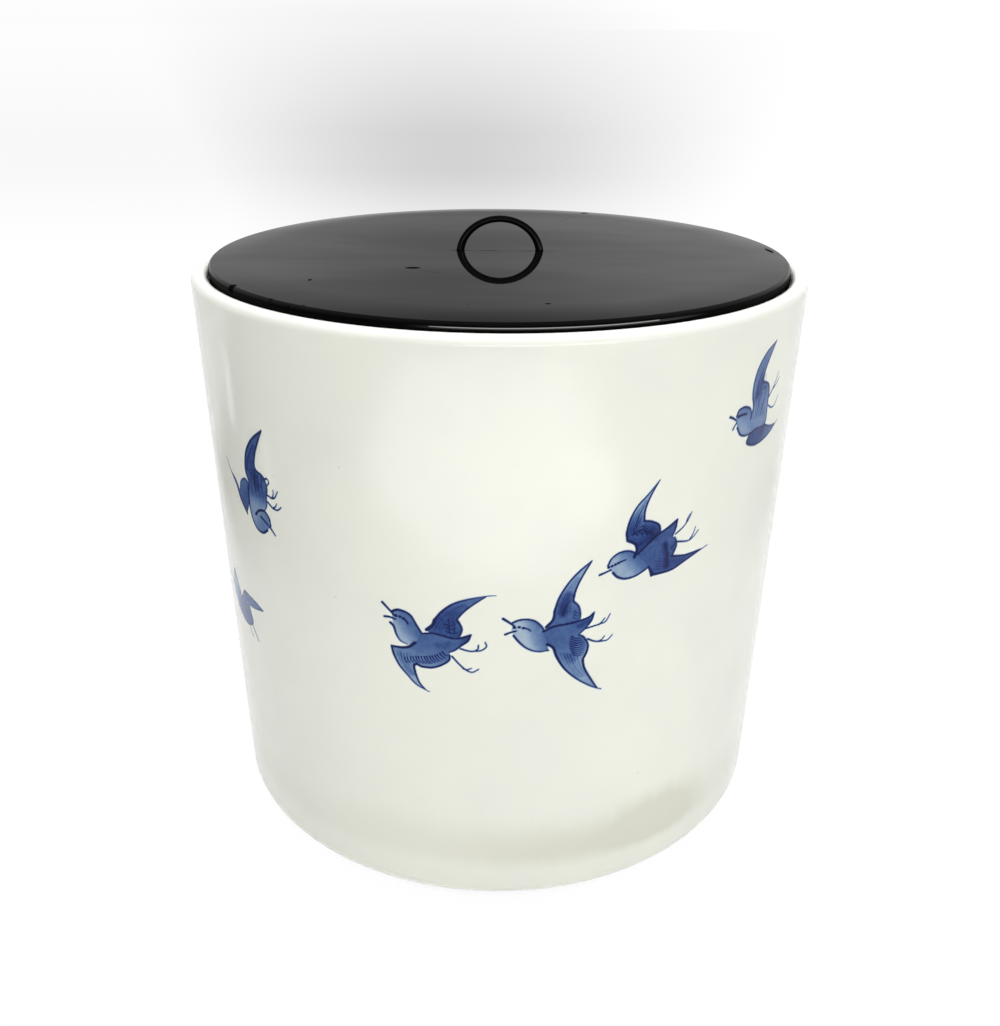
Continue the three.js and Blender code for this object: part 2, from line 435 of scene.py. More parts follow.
def soft_step(value, low, high):
    """0 below low, 1 above high and smooth between them."""
    share = np.clip((value - low) / (high - low), 0, 1)
    return share * share * (3 - 2 * share)


def nearest(points, path):
    """Distance from each point to a path, and how far along the path that is."""
    best = np.full(len(points), np.inf)
    along = np.zeros(len(points))
    runs = np.linalg.norm(np.diff(path, axis=0), axis=1)
    total = max(runs.sum(), NO_LENGTH)
    done = 0.0
    for start, end, run in zip(path[:-1], path[1:], runs):
        if run < NO_LENGTH:
            continue
        share = np.clip(((points - start) @ (end - start)) / run**2, 0, 1)
        gap = np.linalg.norm(points - start - share[:, None] * (end - start), axis=1)
        closer = gap < best
        best[closer] = gap[closer]
        along[closer] = (done + share[closer] * run) / total
        done += run
    return best, along


class Painting:
    """Blue pigment laid on a flat field of points, in millimetres."""

    # Widths are in millimetres, and inks are shares of a full wash
    edge = 0.15
    halo = 0.7
    halo_ink = 0.045
    line_ink = 2.2
    deepest = 2.2
    wash_edge = (-0.1, 0.16)
    rim_band = (0.1, 0.6)
    rim_ink = 0.14
    wet = 0.1
    taper = 0.6
    streak_places = (0.06, 0.35, 0.65, 0.94)
    streak_inks = (0.8, 1.25)
    feather_bend = 0.14

    def __init__(self, field):
        self.field = field
        self.washes = np.zeros(len(field))
        self.lines = np.zeros(len(field))

    def near(self, path, reach):
        """Which points of the field lie in the box round a path."""
        low = path.min(axis=0) - reach
        high = path.max(axis=0) + reach
        return np.where(np.all((self.field > low) & (self.field < high), axis=1))[0]

    def stroke(self, points, start, end, dark=1.0, fade=1.0):
        """A brush line, its width from start to end, its ink from dark to dark times fade."""
        path = curve_through(points)
        close = self.near(path, max(start, end) + self.halo)
        gap, along = nearest(self.field[close], path)
        half = (start + (end - start) * along) / 2
        ink = dark * (1 + (fade - 1) * along)
        cover = ink * (1 - soft_step(gap, half - self.edge / 2, half + self.edge))
        skirt = self.halo_ink * ink * (1 - soft_step(gap, half, half + self.halo / 2))
        self.lines[close] = np.maximum(self.lines[close], np.maximum(cover, skirt))

    def strokes(self, *lines):
        """Several brush lines."""
        for line in lines:
            self.stroke(*line)

    def dabs(self, spots, run, start, end, dark):
        """Short dabs of the brush, each along the same run from its spot."""
        for x, y in spots:
            self.stroke([(x, y), (x + run[0], y + run[1])], start, end, dark)

    def wash(self, outline, first, second):
        """A wash inside an outline of smooth runs, with its strength set at two points."""
        path = np.vstack([curve_through(run) for run in outline])
        closed = np.vstack([path, path[:1]])
        close = self.near(path, self.halo)
        spots = self.field[close]
        inside = np.zeros(len(close), bool)
        for start, end in zip(closed[:-1], closed[1:]):
            if start[1] == end[1]:
                continue
            crosses = (start[1] > spots[:, 1]) != (end[1] > spots[:, 1])
            where = start[0] + (spots[:, 1] - start[1]) * (end[0] - start[0]) / (end[1] - start[1])
            inside ^= crosses & (spots[:, 0] < where)
        gap, _ = nearest(spots, closed)
        depth = np.where(inside, gap, -gap)
        run = np.array(second[:2]) - np.array(first[:2])
        share = soft_step(((spots - np.array(first[:2])) @ run) / (run @ run), 0, 1)
        strength = first[2] + (second[2] - first[2]) * share
        rim = 1 + self.rim_ink * (1 - soft_step(depth, *self.rim_band))
        cover = strength * rim * soft_step(depth, *self.wash_edge)
        self.washes[close] = np.maximum(self.washes[close], cover)

    def pool(self, points, wide, strength):
        """Paint that gathered along a short path and fades out over its width."""
        path = curve_through(points)
        gap, _ = nearest(self.field, path)
        cover = strength * (1 - soft_step(gap, 0, wide))
        self.washes = np.where(self.washes > self.wet, self.washes + cover, self.washes)

    def streaks(self, first, second, count, width=0.2, dark=0.16):
        """Faint brush streaks that run along a wing, between its two edges."""
        upper = curve_through(first, 12)
        lower = curve_through(second, 12)
        for number in range(count):
            share = (number + 1) / (count + 1)
            line = []
            for along in self.streak_places:
                above = upper[int(along * (len(upper) - 1))]
                below = lower[int(along * (len(lower) - 1))]
                line.append(above * (1 - share) + below * share)
            self.stroke(line, width, width * self.taper, dark * self.streak_inks[number % 2], 0.7)

    def feathers(self, roots, tips, count, width=0.24, dark=0.55):
        """A row of short curved strokes between two guide lines."""
        upper = curve_through(roots, 16)
        lower = curve_through(tips, 16)
        for number in range(count):
            share = number / max(1, count - 1)
            root = upper[int(share * (len(upper) - 1))]
            tip = lower[int(share * (len(lower) - 1))]
            across = np.array([tip[1] - root[1], root[0] - tip[0]])
            middle = (root + tip) / 2 + self.feather_bend * across
            self.stroke([root, middle, tip], width, width * self.taper, dark, 0.8)

    def pigment(self):
        """All the paint, with the lines over the washes."""
        return np.minimum(self.deepest, self.washes + self.lines * self.line_ink)


def paint_calling(paint):
    """A plover that calls, seen from its side, one wing raised behind it and one drooped before it."""
    cap = [(-10.5, 6.3), (-9, 7.1), (-7, 6.9), (-5.3, 5.9), (-3.9, 3.5), (-2.5, 1.1)]
    throat = [(-11, 3), (-10.1, 2), (-9.5, -0.2), (-8.4, -2), (-6.5, -2.8)]
    back = [(-2.5, 1.1), (0.3, 1.5), (2.8, 1.1), (5, 0.6), (7.3, 0.7), (10.2, 1.8)]
    rump = [(10.2, 1.8), (9.5, 0), (7.7, -1.6), (6, -3.1), (4.7, -3.7)]
    far_front = [(-1.2, 2.4), (0.4, 4), (0.9, 5.5), (2.9, 8.2), (5.8, 10.6), (9.8, 12.2), (14.3, 13.2)]
    far_hand = [(14.3, 13.2), (10.6, 10.4), (8.2, 8.1), (6.7, 6.1)]
    far_arm = [(6.7, 6.1), (7.5, 4.8), (8, 3.2), (7.3, 0.9)]
    near_arm = [(-4.5, -2), (-6.3, -3.5), (-8.5, -4), (-11, -4)]
    near_front = [(-11, -4), (-10.5, -6.4), (-9, -9.6), (-6.7, -12.4), (-4.5, -14.8), (-2, -16.1)]
    near_hand = [(-2, -16.1), (-3.6, -14.1), (-4.6, -11.3), (-4.9, -8.9), (-4.1, -8.4)]
    near_feathers = [(-4.1, -8.4), (-2.6, -9), (0, -8.9), (2.6, -7.8), (4.5, -6.2), (4.8, -4.7)]
    paint.wash([cap, [(-2.5, 1.1), (-3.4, -2.2)], [(-6.5, -2.8), (-8.4, -2), (-9.5, -0.2), (-10.3, 3)]],
               (-9, -0.5, 0.28), (-4.4, 2.5, 0.74))
    paint.wash([far_front, far_hand, far_arm, [(7.3, 0.9), (4, 0.7), (0, 1.4), (-1.2, 2.4)]],
               (3, 4, 1.08), (10, 11, 0.78))
    paint.wash([back, rump, near_feathers[::-1], near_hand[::-1], near_front[::-1], near_arm[::-1]],
               (0, 0, 0.84), (-3.5, -13, 0.34))
    paint.wash([[(5, 0.6), (7.3, 0.7), (10.2, 1.8)], rump[:3], [(7.7, -1.6), (5.5, -1)]],
               (5, 0, 0.6), (9, 0.5, 1.1))
    paint.pool([(1.6, -1.8), (3.4, -2.2), (4.4, -1)], 1.6, 0.2)
    paint.pool([(-8.6, -6), (-7, -9.6), (-5.4, -11.6)], 1.5, 0.16)
    paint.streaks([(-1, 3), (2.9, 7.6), (9.8, 11.8)], [(6.6, 2), (6.7, 6.1), (10.6, 10.6)], 7)
    paint.streaks([(-10.5, -5), (-9, -9), (-6, -13)], [(-5, -5.5), (-5.2, -9), (-4.4, -12.5)], 5)
    paint.strokes(
        # Head, back and wings
        (cap, 0.5, 0.28, 1.0, 0.8),
        (throat, 0.55, 0.16, 0.95, 0.35),
        (far_front[:3], 0.75, 0.6, 1.1),
        (far_front[2:] + [(16.6, 13.4)], 0.5, 0.12, 0.8, 0.5),
        (far_hand, 0.18, 0.3, 0.6, 1.3),
        (far_arm, 0.42, 0.24, 0.9, 0.5),
        (back, 0.26, 0.42, 0.8),
        (rump, 0.36, 0.2, 0.8, 0.7),
        (near_arm, 0.7, 0.34, 1.1, 0.8),
        (near_front + [(-1, -16.6)], 0.42, 0.14, 0.9, 0.6),
        (near_hand, 0.2, 0.5, 0.7, 1.3),
        (near_feathers, 0.5, 0.3, 0.9, 0.7),
        # Folds of the far wing
        ([(4.6, 6), (4.5, 3.8), (5, 1.8)], 0.22, 0.16, 0.5),
        ([(5.9, 5.6), (6.1, 3.8), (6, 1.8)], 0.2, 0.14, 0.45),
        # Legs and toes
        ([(7.5, -2.4), (9.7, -3), (11.6, -2.9), (13, -2.6), (14.2, -1.5), (13.9, -0.2)],
         0.3, 0.24, 0.85, 0.7),
        ([(5.3, -4.9), (7.2, -7.2), (8.8, -8.7), (10.5, -9.4), (12.2, -8.4)], 0.3, 0.24, 0.85, 0.7),
        ([(11.4, -2.8), (12, -2.3), (12.2, -1.1)], 0.3, 0.2, 0.8),
        ([(8.2, -8.4), (9.2, -8.7), (10.3, -8.2)], 0.3, 0.16, 0.8),
        # Open beak
        ([(-13, 8.6), (-11.6, 7.2), (-9.8, 5.3)], 0.5, 0.3, 0.95),
        ([(-12.6, 4.5), (-11, 4.6), (-9.5, 4.2)], 0.45, 0.24, 0.95),
        # Streak behind the eye
        ([(-7, 4.6), (-6.5, 4), (-6.2, 3.4)], 0.36, 0.2, 0.9),
    )
    paint.feathers([(-7.4, -6.9), (-4.7, -6.2), (-2.1, -5.8), (0.5, -5.2), (2.8, -3.8)],
                   [(-6.8, -8.4), (-4.2, -8), (-1.8, -8), (0.4, -7.5), (2.4, -6.5), (4.3, -4.9)],
                   15, 0.28, 0.6)
    paint.feathers([(3.4, 4.6), (4, 2.4)], [(6.4, 4.8), (6.9, 2.4)], 3, 0.22, 0.4)
    for dot, wide in (((-9.5, 5.3), 0.6), ((-8.4, 5.2), 0.52), ((-7.5, 4.8), 0.44)):
        paint.dabs([dot], (0.2, -0.05), wide, wide, 1.1)


def paint_gliding(paint):
    """A plover that glides level with both wings spread, one above and one below its body."""
    cap = [(-10.2, 3.6), (-8.6, 4.3), (-6.6, 4.5), (-4.5, 3.9), (-2.9, 2.4), (-2, 0.9)]
    throat = [(-9.9, -0.2), (-8.5, -2.1), (-6.4, -4.1), (-3.7, -5.2), (-0.7, -5.1)]
    back = [(-2.3, 0.7), (0.2, 1.9), (3.1, 2.3), (6.5, 2.8), (9.4, 3.6), (10.9, 4.8)]
    rump = [(10.9, 4.8), (10.3, 2.5), (8.7, 0.4), (7.1, -1.2)]
    far_front = [(-1.6, 1.9), (0.1, 4), (0.4, 6.5), (1.6, 10.4), (3.9, 14.3), (6.6, 17.3), (9.5, 19.6)]
    far_hand = [(9.5, 19.6), (7.1, 15.3), (5.7, 11.9), (5.2, 8.9)]
    far_arm = [(5.2, 8.9), (6.7, 7.2), (7.3, 4.9), (7.2, 3)]
    near_front = [(-1.2, -3.2), (0.4, -4.4), (1.4, -7.2), (3.6, -11), (6.8, -14.4), (10.5, -17.2),
                  (13, -18.6)]
    near_hand = [(13, -18.6), (11.2, -15.6), (9.1, -11.7), (8.5, -8.9)]
    near_arm = [(8.5, -8.9), (9.5, -6.6), (9.7, -4.4), (8.4, -2), (7.1, -1.2)]
    paint.wash([cap, [(-2, 0.9), (-1.2, -3.2), (-0.7, -5.1)], throat[::-1], [(-9.9, -0.2), (-10.5, 1.6)]],
               (-7, -2.5, 0.24), (-1.8, -0.6, 0.70))
    paint.wash([far_front, far_hand, far_arm, [(7.2, 3), (3, 2), (0, 1.4), (-1.6, 1.9)]],
               (3.5, 6, 0.82), (6.5, 13, 0.38))
    paint.wash([back, rump, near_arm[::-1], near_hand[::-1], near_front[::-1]],
               (3, -1.5, 0.86), (7.5, -11, 0.40))
    paint.wash([[(-2.3, 0.7), (1, 1.4), (2, -2), (-1.2, -3.2)]], (-2, 0, 0.66), (2, -1, 0.8))
    paint.pool([(2.6, 5.4), (3, 8), (4, 10.6)], 1.7, 0.5)
    paint.pool([(4.4, -7.6), (5.6, -8.6)], 1.8, 0.3)
    paint.pool([(7, 1.4), (9.4, 2.4)], 1.4, 0.35)
    paint.streaks([(0.6, 5), (1.8, 10.4), (6.6, 17)], [(5, 5.4), (5.4, 10.4), (7.4, 15.6)], 6)
    paint.streaks([(1.2, -5.4), (3.6, -10.6), (8, -15.2)], [(7.6, -7), (8.6, -11), (10.6, -14.6)], 6)
    paint.strokes(
        # Head, back and wings
        (cap, 0.36, 0.3, 0.9, 0.7),
        (throat, 0.42, 0.2, 0.9, 0.5),
        (back, 0.46, 0.34, 1.0, 0.7),
        (rump, 0.34, 0.2, 0.8, 0.5),
        (far_front[:3], 0.6, 0.4, 1.0, 0.8),
        (far_front[2:], 0.36, 0.3, 0.8, 0.9),
        (far_hand, 0.24, 0.36, 0.8, 1.1),
        (far_arm, 0.34, 0.2, 0.8, 0.4),
        (near_front + [(14.2, -19.1)], 0.55, 0.14, 1.05, 0.6),
        (near_hand, 0.24, 0.44, 0.8, 1.3),
        (near_arm, 0.42, 0.26, 0.9, 0.7),
        # Fold of the far wing
        ([(2.6, 5.2), (3.4, 7.6), (4.4, 9.4)], 0.5, 0.2, 0.35),
        # Legs and toes
        ([(8.8, 0.4), (10.9, 0.8), (12.8, 1.2), (14.3, 1.7), (15.4, 3.7)], 0.32, 0.2, 0.85, 0.7),
        ([(9.5, -2.8), (11.5, -3.8), (13.3, -4.1), (15.1, -4), (16.4, -2.7)], 0.32, 0.2, 0.85, 0.7),
        ([(12.4, 1), (13.2, 1.7), (14, 2.7)], 0.3, 0.14, 0.8),
        ([(12.7, -4), (13.5, -3.6), (14.2, -2.7)], 0.3, 0.14, 0.8),
        # Open beak
        ([(-12.6, 4.8), (-11.2, 3.8), (-9.7, 2.6)], 0.5, 0.3, 0.95),
        ([(-12, 0.2), (-10.6, 0.8), (-9.2, 1.2)], 0.45, 0.22, 0.9),
        # Streak behind the eye
        ([(-6.9, 1.9), (-6.2, 1.6), (-5.5, 1)], 0.3, 0.16, 0.8),
    )
    paint.feathers([(5.1, -1.4), (4.8, -3.3), (5, -5.2), (5.7, -7)],
                   [(7.6, -2.3), (8.7, -3.9), (8.9, -5.6), (8.2, -7.4)], 9, 0.24, 0.5)
    paint.feathers([(5.6, 5.9), (5.4, 4.2)], [(6.9, 5.2), (6.8, 3.6)], 3, 0.2, 0.35)
    paint.dabs([(-9.8, 2.2), (-8.6, 2.3), (-7.5, 2)], (0.3, -0.05), 0.5, 0.4, 1.1)


def paint_turning(paint):
    """A plover that turns, its closed beak low, one wing swept up and one swept back under its tail."""
    cap = [(-13.1, -2.3), (-12.2, -0.5), (-10.3, 0.8), (-8, 1), (-6.4, 0.5), (-5.6, -0.3)]
    throat = [(-11.6, -4.5), (-10.3, -5.9), (-8.1, -6.8), (-5.3, -6.6), (-3, -5.7), (-1.4, -4.8)]
    back = [(-4.9, -0.4), (-2.1, 1.9), (0.3, 3.7), (3.1, 4.9), (6.4, 6.7)]
    rump = [(6.4, 6.7), (6.2, 4.5), (5.4, 2.5), (6.1, 2)]
    far_root = [(-5.8, -1), (-5.3, 0.9), (-6, 2.6), (-8.2, 3.8)]
    far_front = [(-8.2, 3.8), (-8.5, 6.3), (-7.7, 9.7), (-5.9, 12.9), (-3.1, 15.6), (-0.2, 18.7)]
    far_hand = [(-0.2, 18.7), (-2.4, 15), (-3.7, 11.6), (-3.8, 8.5)]
    far_arm = [(-3.8, 8.5), (-1.5, 7.9), (0.8, 6.5), (1.4, 4.4)]
    near_front = [(-0.2, -7.3), (3.3, -7.4), (6.5, -7.2), (9.7, -6.1), (14.3, -4.6)]
    near_hand = [(16.5, -4), (14.2, -4), (10.1, -4.1), (5.8, -3.3)]
    near_arm = [(5.8, -3.3), (6.9, -0.8), (6.8, 0.7), (6.1, 2)]
    paint.wash([cap, [(-5.6, -0.3), (-2.6, -1.5), (-1.4, -4.8)], throat[::-1],
                [(-11.6, -4.5), (-12.8, -3.6)]], (-8.5, -4.5, 0.32), (-5, -1.2, 0.78))
    paint.wash([far_root, far_front, far_hand, far_arm, [(1.4, 4.4), (-4.9, -0.4)]],
               (-4.5, 5, 1.1), (-4, 12.5, 0.36))
    paint.wash([back, rump, near_arm[::-1], near_hand[::-1], [(16.5, -4), (14.3, -4.6)], near_front[::-1],
                [(-0.2, -7.3), (-1.4, -4.8), (-4, -2)]], (1, -1, 0.94), (5, -6, 1.04))
    paint.pool([(3.2, 0.6), (3.9, -2.6), (4.2, -5.6)], 1.5, 0.55)
    paint.pool([(-4.8, 2), (-2.6, 3.2), (-0.2, 3.6)], 1.6, 0.4)
    paint.streaks([(-8, 5), (-7.4, 9.6), (-3.4, 14.8)], [(-4.4, 7), (-4, 10.6), (-2.4, 14.6)], 5)
    paint.streaks([(0.2, -6.6), (5, -6.8), (10, -5.6)], [(1.4, -2), (6, -4), (11, -4.6)], 5)
    paint.strokes(
        # Head, back and wings
        (cap, 0.34, 0.28, 0.8, 0.9),
        (throat, 0.44, 0.26, 0.9, 0.8),
        (back, 0.36, 0.5, 0.9),
        (rump[:3], 0.4, 0.24, 0.9, 0.7),
        (far_root, 0.7, 0.4, 1.1, 0.8),
        (far_front, 0.4, 0.18, 0.9, 0.7),
        (far_hand, 0.2, 0.4, 0.7, 1.3),
        (far_arm, 0.36, 0.3, 0.9, 0.8),
        ([(-1.4, -4.8), (-0.7, -6), (-0.2, -7.3)], 0.34, 0.85, 0.9, 1.2),
        (near_front + [(18.3, -3.5)], 0.5, 0.12, 0.9, 0.6),
        (near_hand, 0.16, 0.4, 0.7, 1.2),
        (near_arm, 0.36, 0.24, 0.8, 0.6),
        # Folds of the wings
        ([(3.3, 0.8), (4.1, -2.3), (4.6, -6)], 0.36, 0.26, 0.55),
        ([(5.3, -1), (5.9, -0.4), (6.4, 0.6)], 0.26, 0.14, 0.4),
        ([(-6.9, 5.2), (-4.6, 6.2), (-2.4, 5.2), (-0.7, 4.6)], 0.3, 0.2, 0.45),
        ([(-6.2, 7.6), (-5.4, 10.2), (-4.2, 12.6)], 0.3, 0.16, 0.4),
        ([(-6.6, 6.2), (-5.2, 8.4), (-4.5, 10.2)], 0.26, 0.16, 0.35),
        # Legs and toes
        ([(6.3, 2.8), (8.5, 4.1), (10, 5.6), (11.2, 7.8)], 0.3, 0.16, 0.8, 0.6),
        ([(9.6, 5.2), (9.9, 6.3), (10.6, 7.4)], 0.3, 0.14, 0.8, 0.6),
        ([(7, 0.5), (10.7, -0.2), (12.6, 0.5), (14.2, 2)], 0.3, 0.18, 0.8, 0.7),
        ([(11.3, -0.1), (12.4, 1.4), (13, 3.2)], 0.3, 0.14, 0.8, 0.6),
        # Closed beak
        ([(-15.2, -4.6), (-13.6, -4.1), (-12.2, -3.6)], 0.42, 0.26, 0.9),
        # Streak behind the eye
        ([(-9.8, -1.8), (-9, -1.6), (-8.2, -1.4)], 0.32, 0.18, 0.9),
    )
    paint.feathers([(-4.4, 7), (-3, 5.4), (-1.4, 4)], [(-3, 7.8), (-1, 6.7), (0.5, 5)], 7, 0.22, 0.5)
    paint.dabs([(-12.9, -2.8), (-12, -2.6), (-11.1, -2.3), (-10.3, -2)], (0.2, 0.06), 0.5, 0.4, 1.1)
    speckles = [(-6.4, 5.8), (-5.6, 5.3), (-4.9, 5.9), (-4.2, 5.2), (-3.4, 5.6), (-2.7, 4.9), (-1.9, 5.2)]
    paint.dabs(speckles, (0.2, -0.5), 0.34, 0.26, 0.55)


def paint_climbing(paint):
    """A small plover that climbs steeply, seen from behind its back."""
    cap = [(-10.6, -1.8), (-9.8, -0.4), (-7.4, -0.1), (-4.9, -1), (-3.8, -2.6)]
    throat = [(-9.8, -5), (-8.1, -7.2), (-5.6, -8.1), (-2.9, -8.1)]
    seam = [(-2.9, -8.1), (-0.6, -7.6), (2, -7.7), (4.4, -7.7)]
    far_front = [(-3.9, -4), (-3.3, -0.9), (-4.3, 2), (-4.4, 5.4), (-3, 9.2), (0.4, 12.4), (5.2, 14.3)]
    far_hand = [(5.2, 14.3), (2.4, 10.4), (0.6, 7.3), (0.3, 4.8)]
    far_arm = [(0.3, 4.8), (3.4, 3.5), (4.5, 1.7), (4.6, 0)]
    side = [(4.6, 0), (4.7, -3.2), (5, -6.4), (4.4, -7.7)]
    near_front = [(-3.3, -8), (-4.4, -10.4), (-0.2, -12), (4.6, -11.9), (9.2, -10.9)]
    near_hand = [(12.5, -9.5), (9.2, -9.2), (6.8, -8.6), (4.8, -7.8)]
    paint.wash([cap, [(-3.8, -2.6), (-3.4, -5), (-2.9, -8.1)], throat[::-1], [(-9.8, -5), (-10.8, -3.2)]],
               (-7.5, -6, 0.42), (-4.5, -1.5, 0.66))
    paint.wash([far_front, far_hand, far_arm, side, seam[::-1]], (0, -5, 0.54), (0, 6, 0.68))
    paint.wash([[(-3.3, -8)], near_front, [(12.5, -9.5)], near_hand, seam[::-1]],
               (0, -9, 1.14), (8, -10, 0.92))
    paint.pool([(-1.6, 2), (-0.4, 5)], 2.4, 0.5)
    paint.pool([(3.2, -9), (4.2, -7.9)], 1.8, 0.35)
    paint.streaks([(-3.4, -5), (-3.8, 2), (-2.2, 9)], [(3.8, -5), (3.4, 1.6), (1.4, 8)], 7)
    paint.strokes(
        # Head, back and wings
        (cap, 0.46, 0.26, 0.9, 0.7),
        (throat, 0.44, 0.26, 0.8, 0.8),
        (seam, 0.34, 0.24, 0.8, 0.6),
        (far_front, 0.4, 0.16, 0.8, 0.6),
        (far_hand, 0.16, 0.34, 0.6, 1.1),
        (far_arm + side[1:], 0.42, 0.26, 0.8, 0.6),
        (near_front + [(13.8, -8.9)], 0.46, 0.12, 0.8, 0.5),
        (near_hand, 0.14, 0.3, 0.6, 1.1),
        # Folds of the far wing
        ([(0.6, 2.6), (1.8, 3.2), (2.6, 2.3), (2, 1.2)], 0.3, 0.2, 0.45),
        ([(-2.4, 1.2), (-2.2, 4.4), (-0.6, 8.2)], 0.36, 0.18, 0.3),
        ([(-1, -3.6), (-0.6, 0), (0.6, 2)], 0.36, 0.2, 0.25),
        ([(1, -4.4), (1.6, -1.4), (3, 0.6)], 0.32, 0.2, 0.25),
        # Legs and toes
        ([(4.9, -0.3), (6.6, 1.2), (8.4, 3.2), (9.6, 5.2)], 0.4, 0.16, 0.7, 0.5),
        ([(6.6, 1.2), (8.6, 2), (10.8, 3.6)], 0.3, 0.14, 0.6, 0.5),
        ([(5.2, -2.7), (7.4, -3.8), (9.2, -3.9), (10.4, -3), (11.6, -1.4)], 0.26, 0.16, 0.7, 0.5),
        # Open beak
        ([(-13.4, -1.4), (-12, -2), (-10.7, -2.8)], 0.44, 0.26, 0.9),
        ([(-11.6, -5), (-11, -4.2), (-10.3, -3.5)], 0.44, 0.24, 0.8),
        # Eye
        ([(-9.9, -2.1), (-8.2, -1.9), (-6.2, -2.2)], 0.55, 0.3, 1.0, 0.8),
    )


def paint_diving(paint):
    """A plover that dives head down, its far wing trailing."""
    wing_left = [(-4.2, 2.1), (-5.3, 4.5), (-5, 7.5), (-3.4, 11.2), (0, 15), (4.9, 18.4)]
    wing_right = [(4.9, 18.4), (2.7, 14.8), (0.7, 11), (-0.2, 7.6), (0.8, 6.2)]
    flank = [(0.8, 6.2), (3, 5.7), (4.2, 4.4), (4.7, 2.4), (4, -0.2), (3.8, -2.4), (2.5, -4.5)]
    back = [(-4.2, 2.1), (-5, -1.8), (-5.2, -6), (-4.3, -9.2), (-2.4, -11.2), (0.4, -11.5), (2.8, -10)]
    cap = [(-2.4, -7), (-0.5, -5.3), (2.3, -4.6), (4.2, -6), (4.6, -8.2)]
    far_left = [(-15.6, 1.6), (-12.4, -1.6), (-10.6, -5), (-7.4, -8.4)]
    far_right = [(-7.4, -8.4), (-5.6, -5), (-5, -0.6), (-4.9, 1.6), (-6.8, 2), (-9.2, 0.3), (-10.4, -2.6)]
    paint.wash([wing_left, wing_right, flank, [(2.5, -4.5), (-2.4, -7), (-5.2, -6)],
                [(-5.2, -6), (-5, -1.8), (-4.2, 2.1)]], (-1, -4.5, 0.42), (-1, 0.5, 0.94))
    paint.wash([wing_left[1:], wing_right], (-1.6, 5, 0.98), (1.6, 13, 0.62))
    paint.pool([(-0.8, 5), (-0.4, 2)], 2.4, 0.3)
    paint.streaks([(-4.4, 3), (-4.2, 8), (0.6, 14.6)], [(2.6, 1.4), (0.4, 8), (2.6, 14.4)], 6)
    paint.wash([back[2:], [(2.8, -10), (4.6, -8.2)], cap[::-1]], (-3.5, -7, 0.4), (1, -10, 0.6))
    paint.wash([far_left, far_right, [(-10.4, -2.6), (-12.4, 0), (-15.6, 1.6)]],
               (-12, -1, 0.7), (-7, -5, 0.95))
    paint.strokes(
        # Wings, back and head
        ([(-17.9, 4.8)] + far_left, 0.14, 0.6, 0.4, 2.2),
        (far_right[1:], 0.3, 0.24, 0.5),
        (wing_left, 0.5, 0.36, 0.7),
        (wing_right, 0.4, 0.36, 0.8),
        (flank, 0.46, 0.22, 0.9, 0.5),
        ([(3.6, 4.8), (5, 5.4), (5.8, 4.6), (4.6, 3.2)], 0.45, 0.3, 0.8),
        (back, 0.34, 0.44, 0.75, 1.1),
        (cap, 0.56, 0.34, 1.0, 0.8),
        # Fold of the wing
        ([(-4.4, 5.4), (-3.2, 8.8), (0.4, 13.6)], 0.5, 0.2, 0.25),
        # Eye
        ([(0.2, -6.8), (1.9, -7.6), (3.3, -8.3)], 0.5, 0.36, 1.0),
        # Beak
        ([(4.1, -8.6), (5.2, -9.5), (6.2, -10.4)], 0.5, 0.3, 0.9),
        # Legs and toes
        ([(4.6, 0.7), (6.4, 0.4), (7.8, 1), (9.2, 3)], 0.42, 0.2, 0.9, 0.6),
        ([(6.6, 0.5), (7.2, 1.6), (7.3, 2.9)], 0.34, 0.18, 0.8, 0.6),
        ([(4.4, -1.3), (6.4, -2.4), (8.4, -2.4), (10, -1.2)], 0.42, 0.24, 0.9, 0.7),
        ([(6.6, -2.4), (7.7, -1.6), (8.3, -0.6)], 0.34, 0.18, 0.8, 0.6),
    )
    for foot, root in ((-2.6, 1.8), (-0.9, 1.6), (0.9, 2.2), (2.5, 2.4)):
        paint.stroke([(foot, root + 3), (foot - 0.3, root), (foot, root - 3)], 0.4, 0.2, 0.3)


def paint_distant(paint):
    """A plover that flies off round the jar, seen from behind in paler washes."""
    body = [(-6, 4.4), (-4.4, 1.6), (-3.4, 0.8), (-0.3, 4.4), (1.4, 2.6), (3.2, -1), (4.2, -4.2)]
    belly = [(4.2, -4.2), (2.6, -5.8), (-1.5, -7.1), (-6.7, -5.7), (-10.6, -2.5), (-12.3, 1.6)]
    wing = [(-12.3, 1.6), (-10.8, 5), (-8.6, 8), (-7.4, 6.6), (-6, 4.4)]
    near = [(-0.3, 4.4), (4.2, 4.3), (8.6, 3.9), (12, 3)]
    near_back = [(12, 3), (8, 1.9), (5, 1.2), (2.8, 1)]
    paint.wash([body, belly, wing], (-9, 4, 0.38), (-2, -2, 0.82))
    paint.wash([near, near_back, [(2.8, 1), (-0.3, 4.4)]], (0, 3, 0.78), (9, 3, 0.68))
    paint.strokes(
        # Outlines
        (body, 0.3, 0.3, 0.35),
        (belly, 0.3, 0.36, 0.3),
        (wing, 0.36, 0.2, 0.3),
        (near, 0.4, 0.3, 0.5),
        (near_back, 0.4, 0.2, 0.45),
        # Fold of the wing
        ([(-7.8, 1.8), (-6.4, -1.4), (-3.4, -4.4)], 0.4, 0.24, 0.2),
        # Wing tip
        ([(-10.4, 1.4), (-14.4, 2.6), (-17, 5.2)], 0.5, 0.2, 0.5, 0.5),
        # Legs
        ([(3, -5.3), (5.2, -7.8), (6.4, -9.6)], 0.36, 0.3, 0.7),
        ([(0.4, -6.8), (1.8, -8.8), (3, -9.8)], 0.3, 0.2, 0.4),
    )


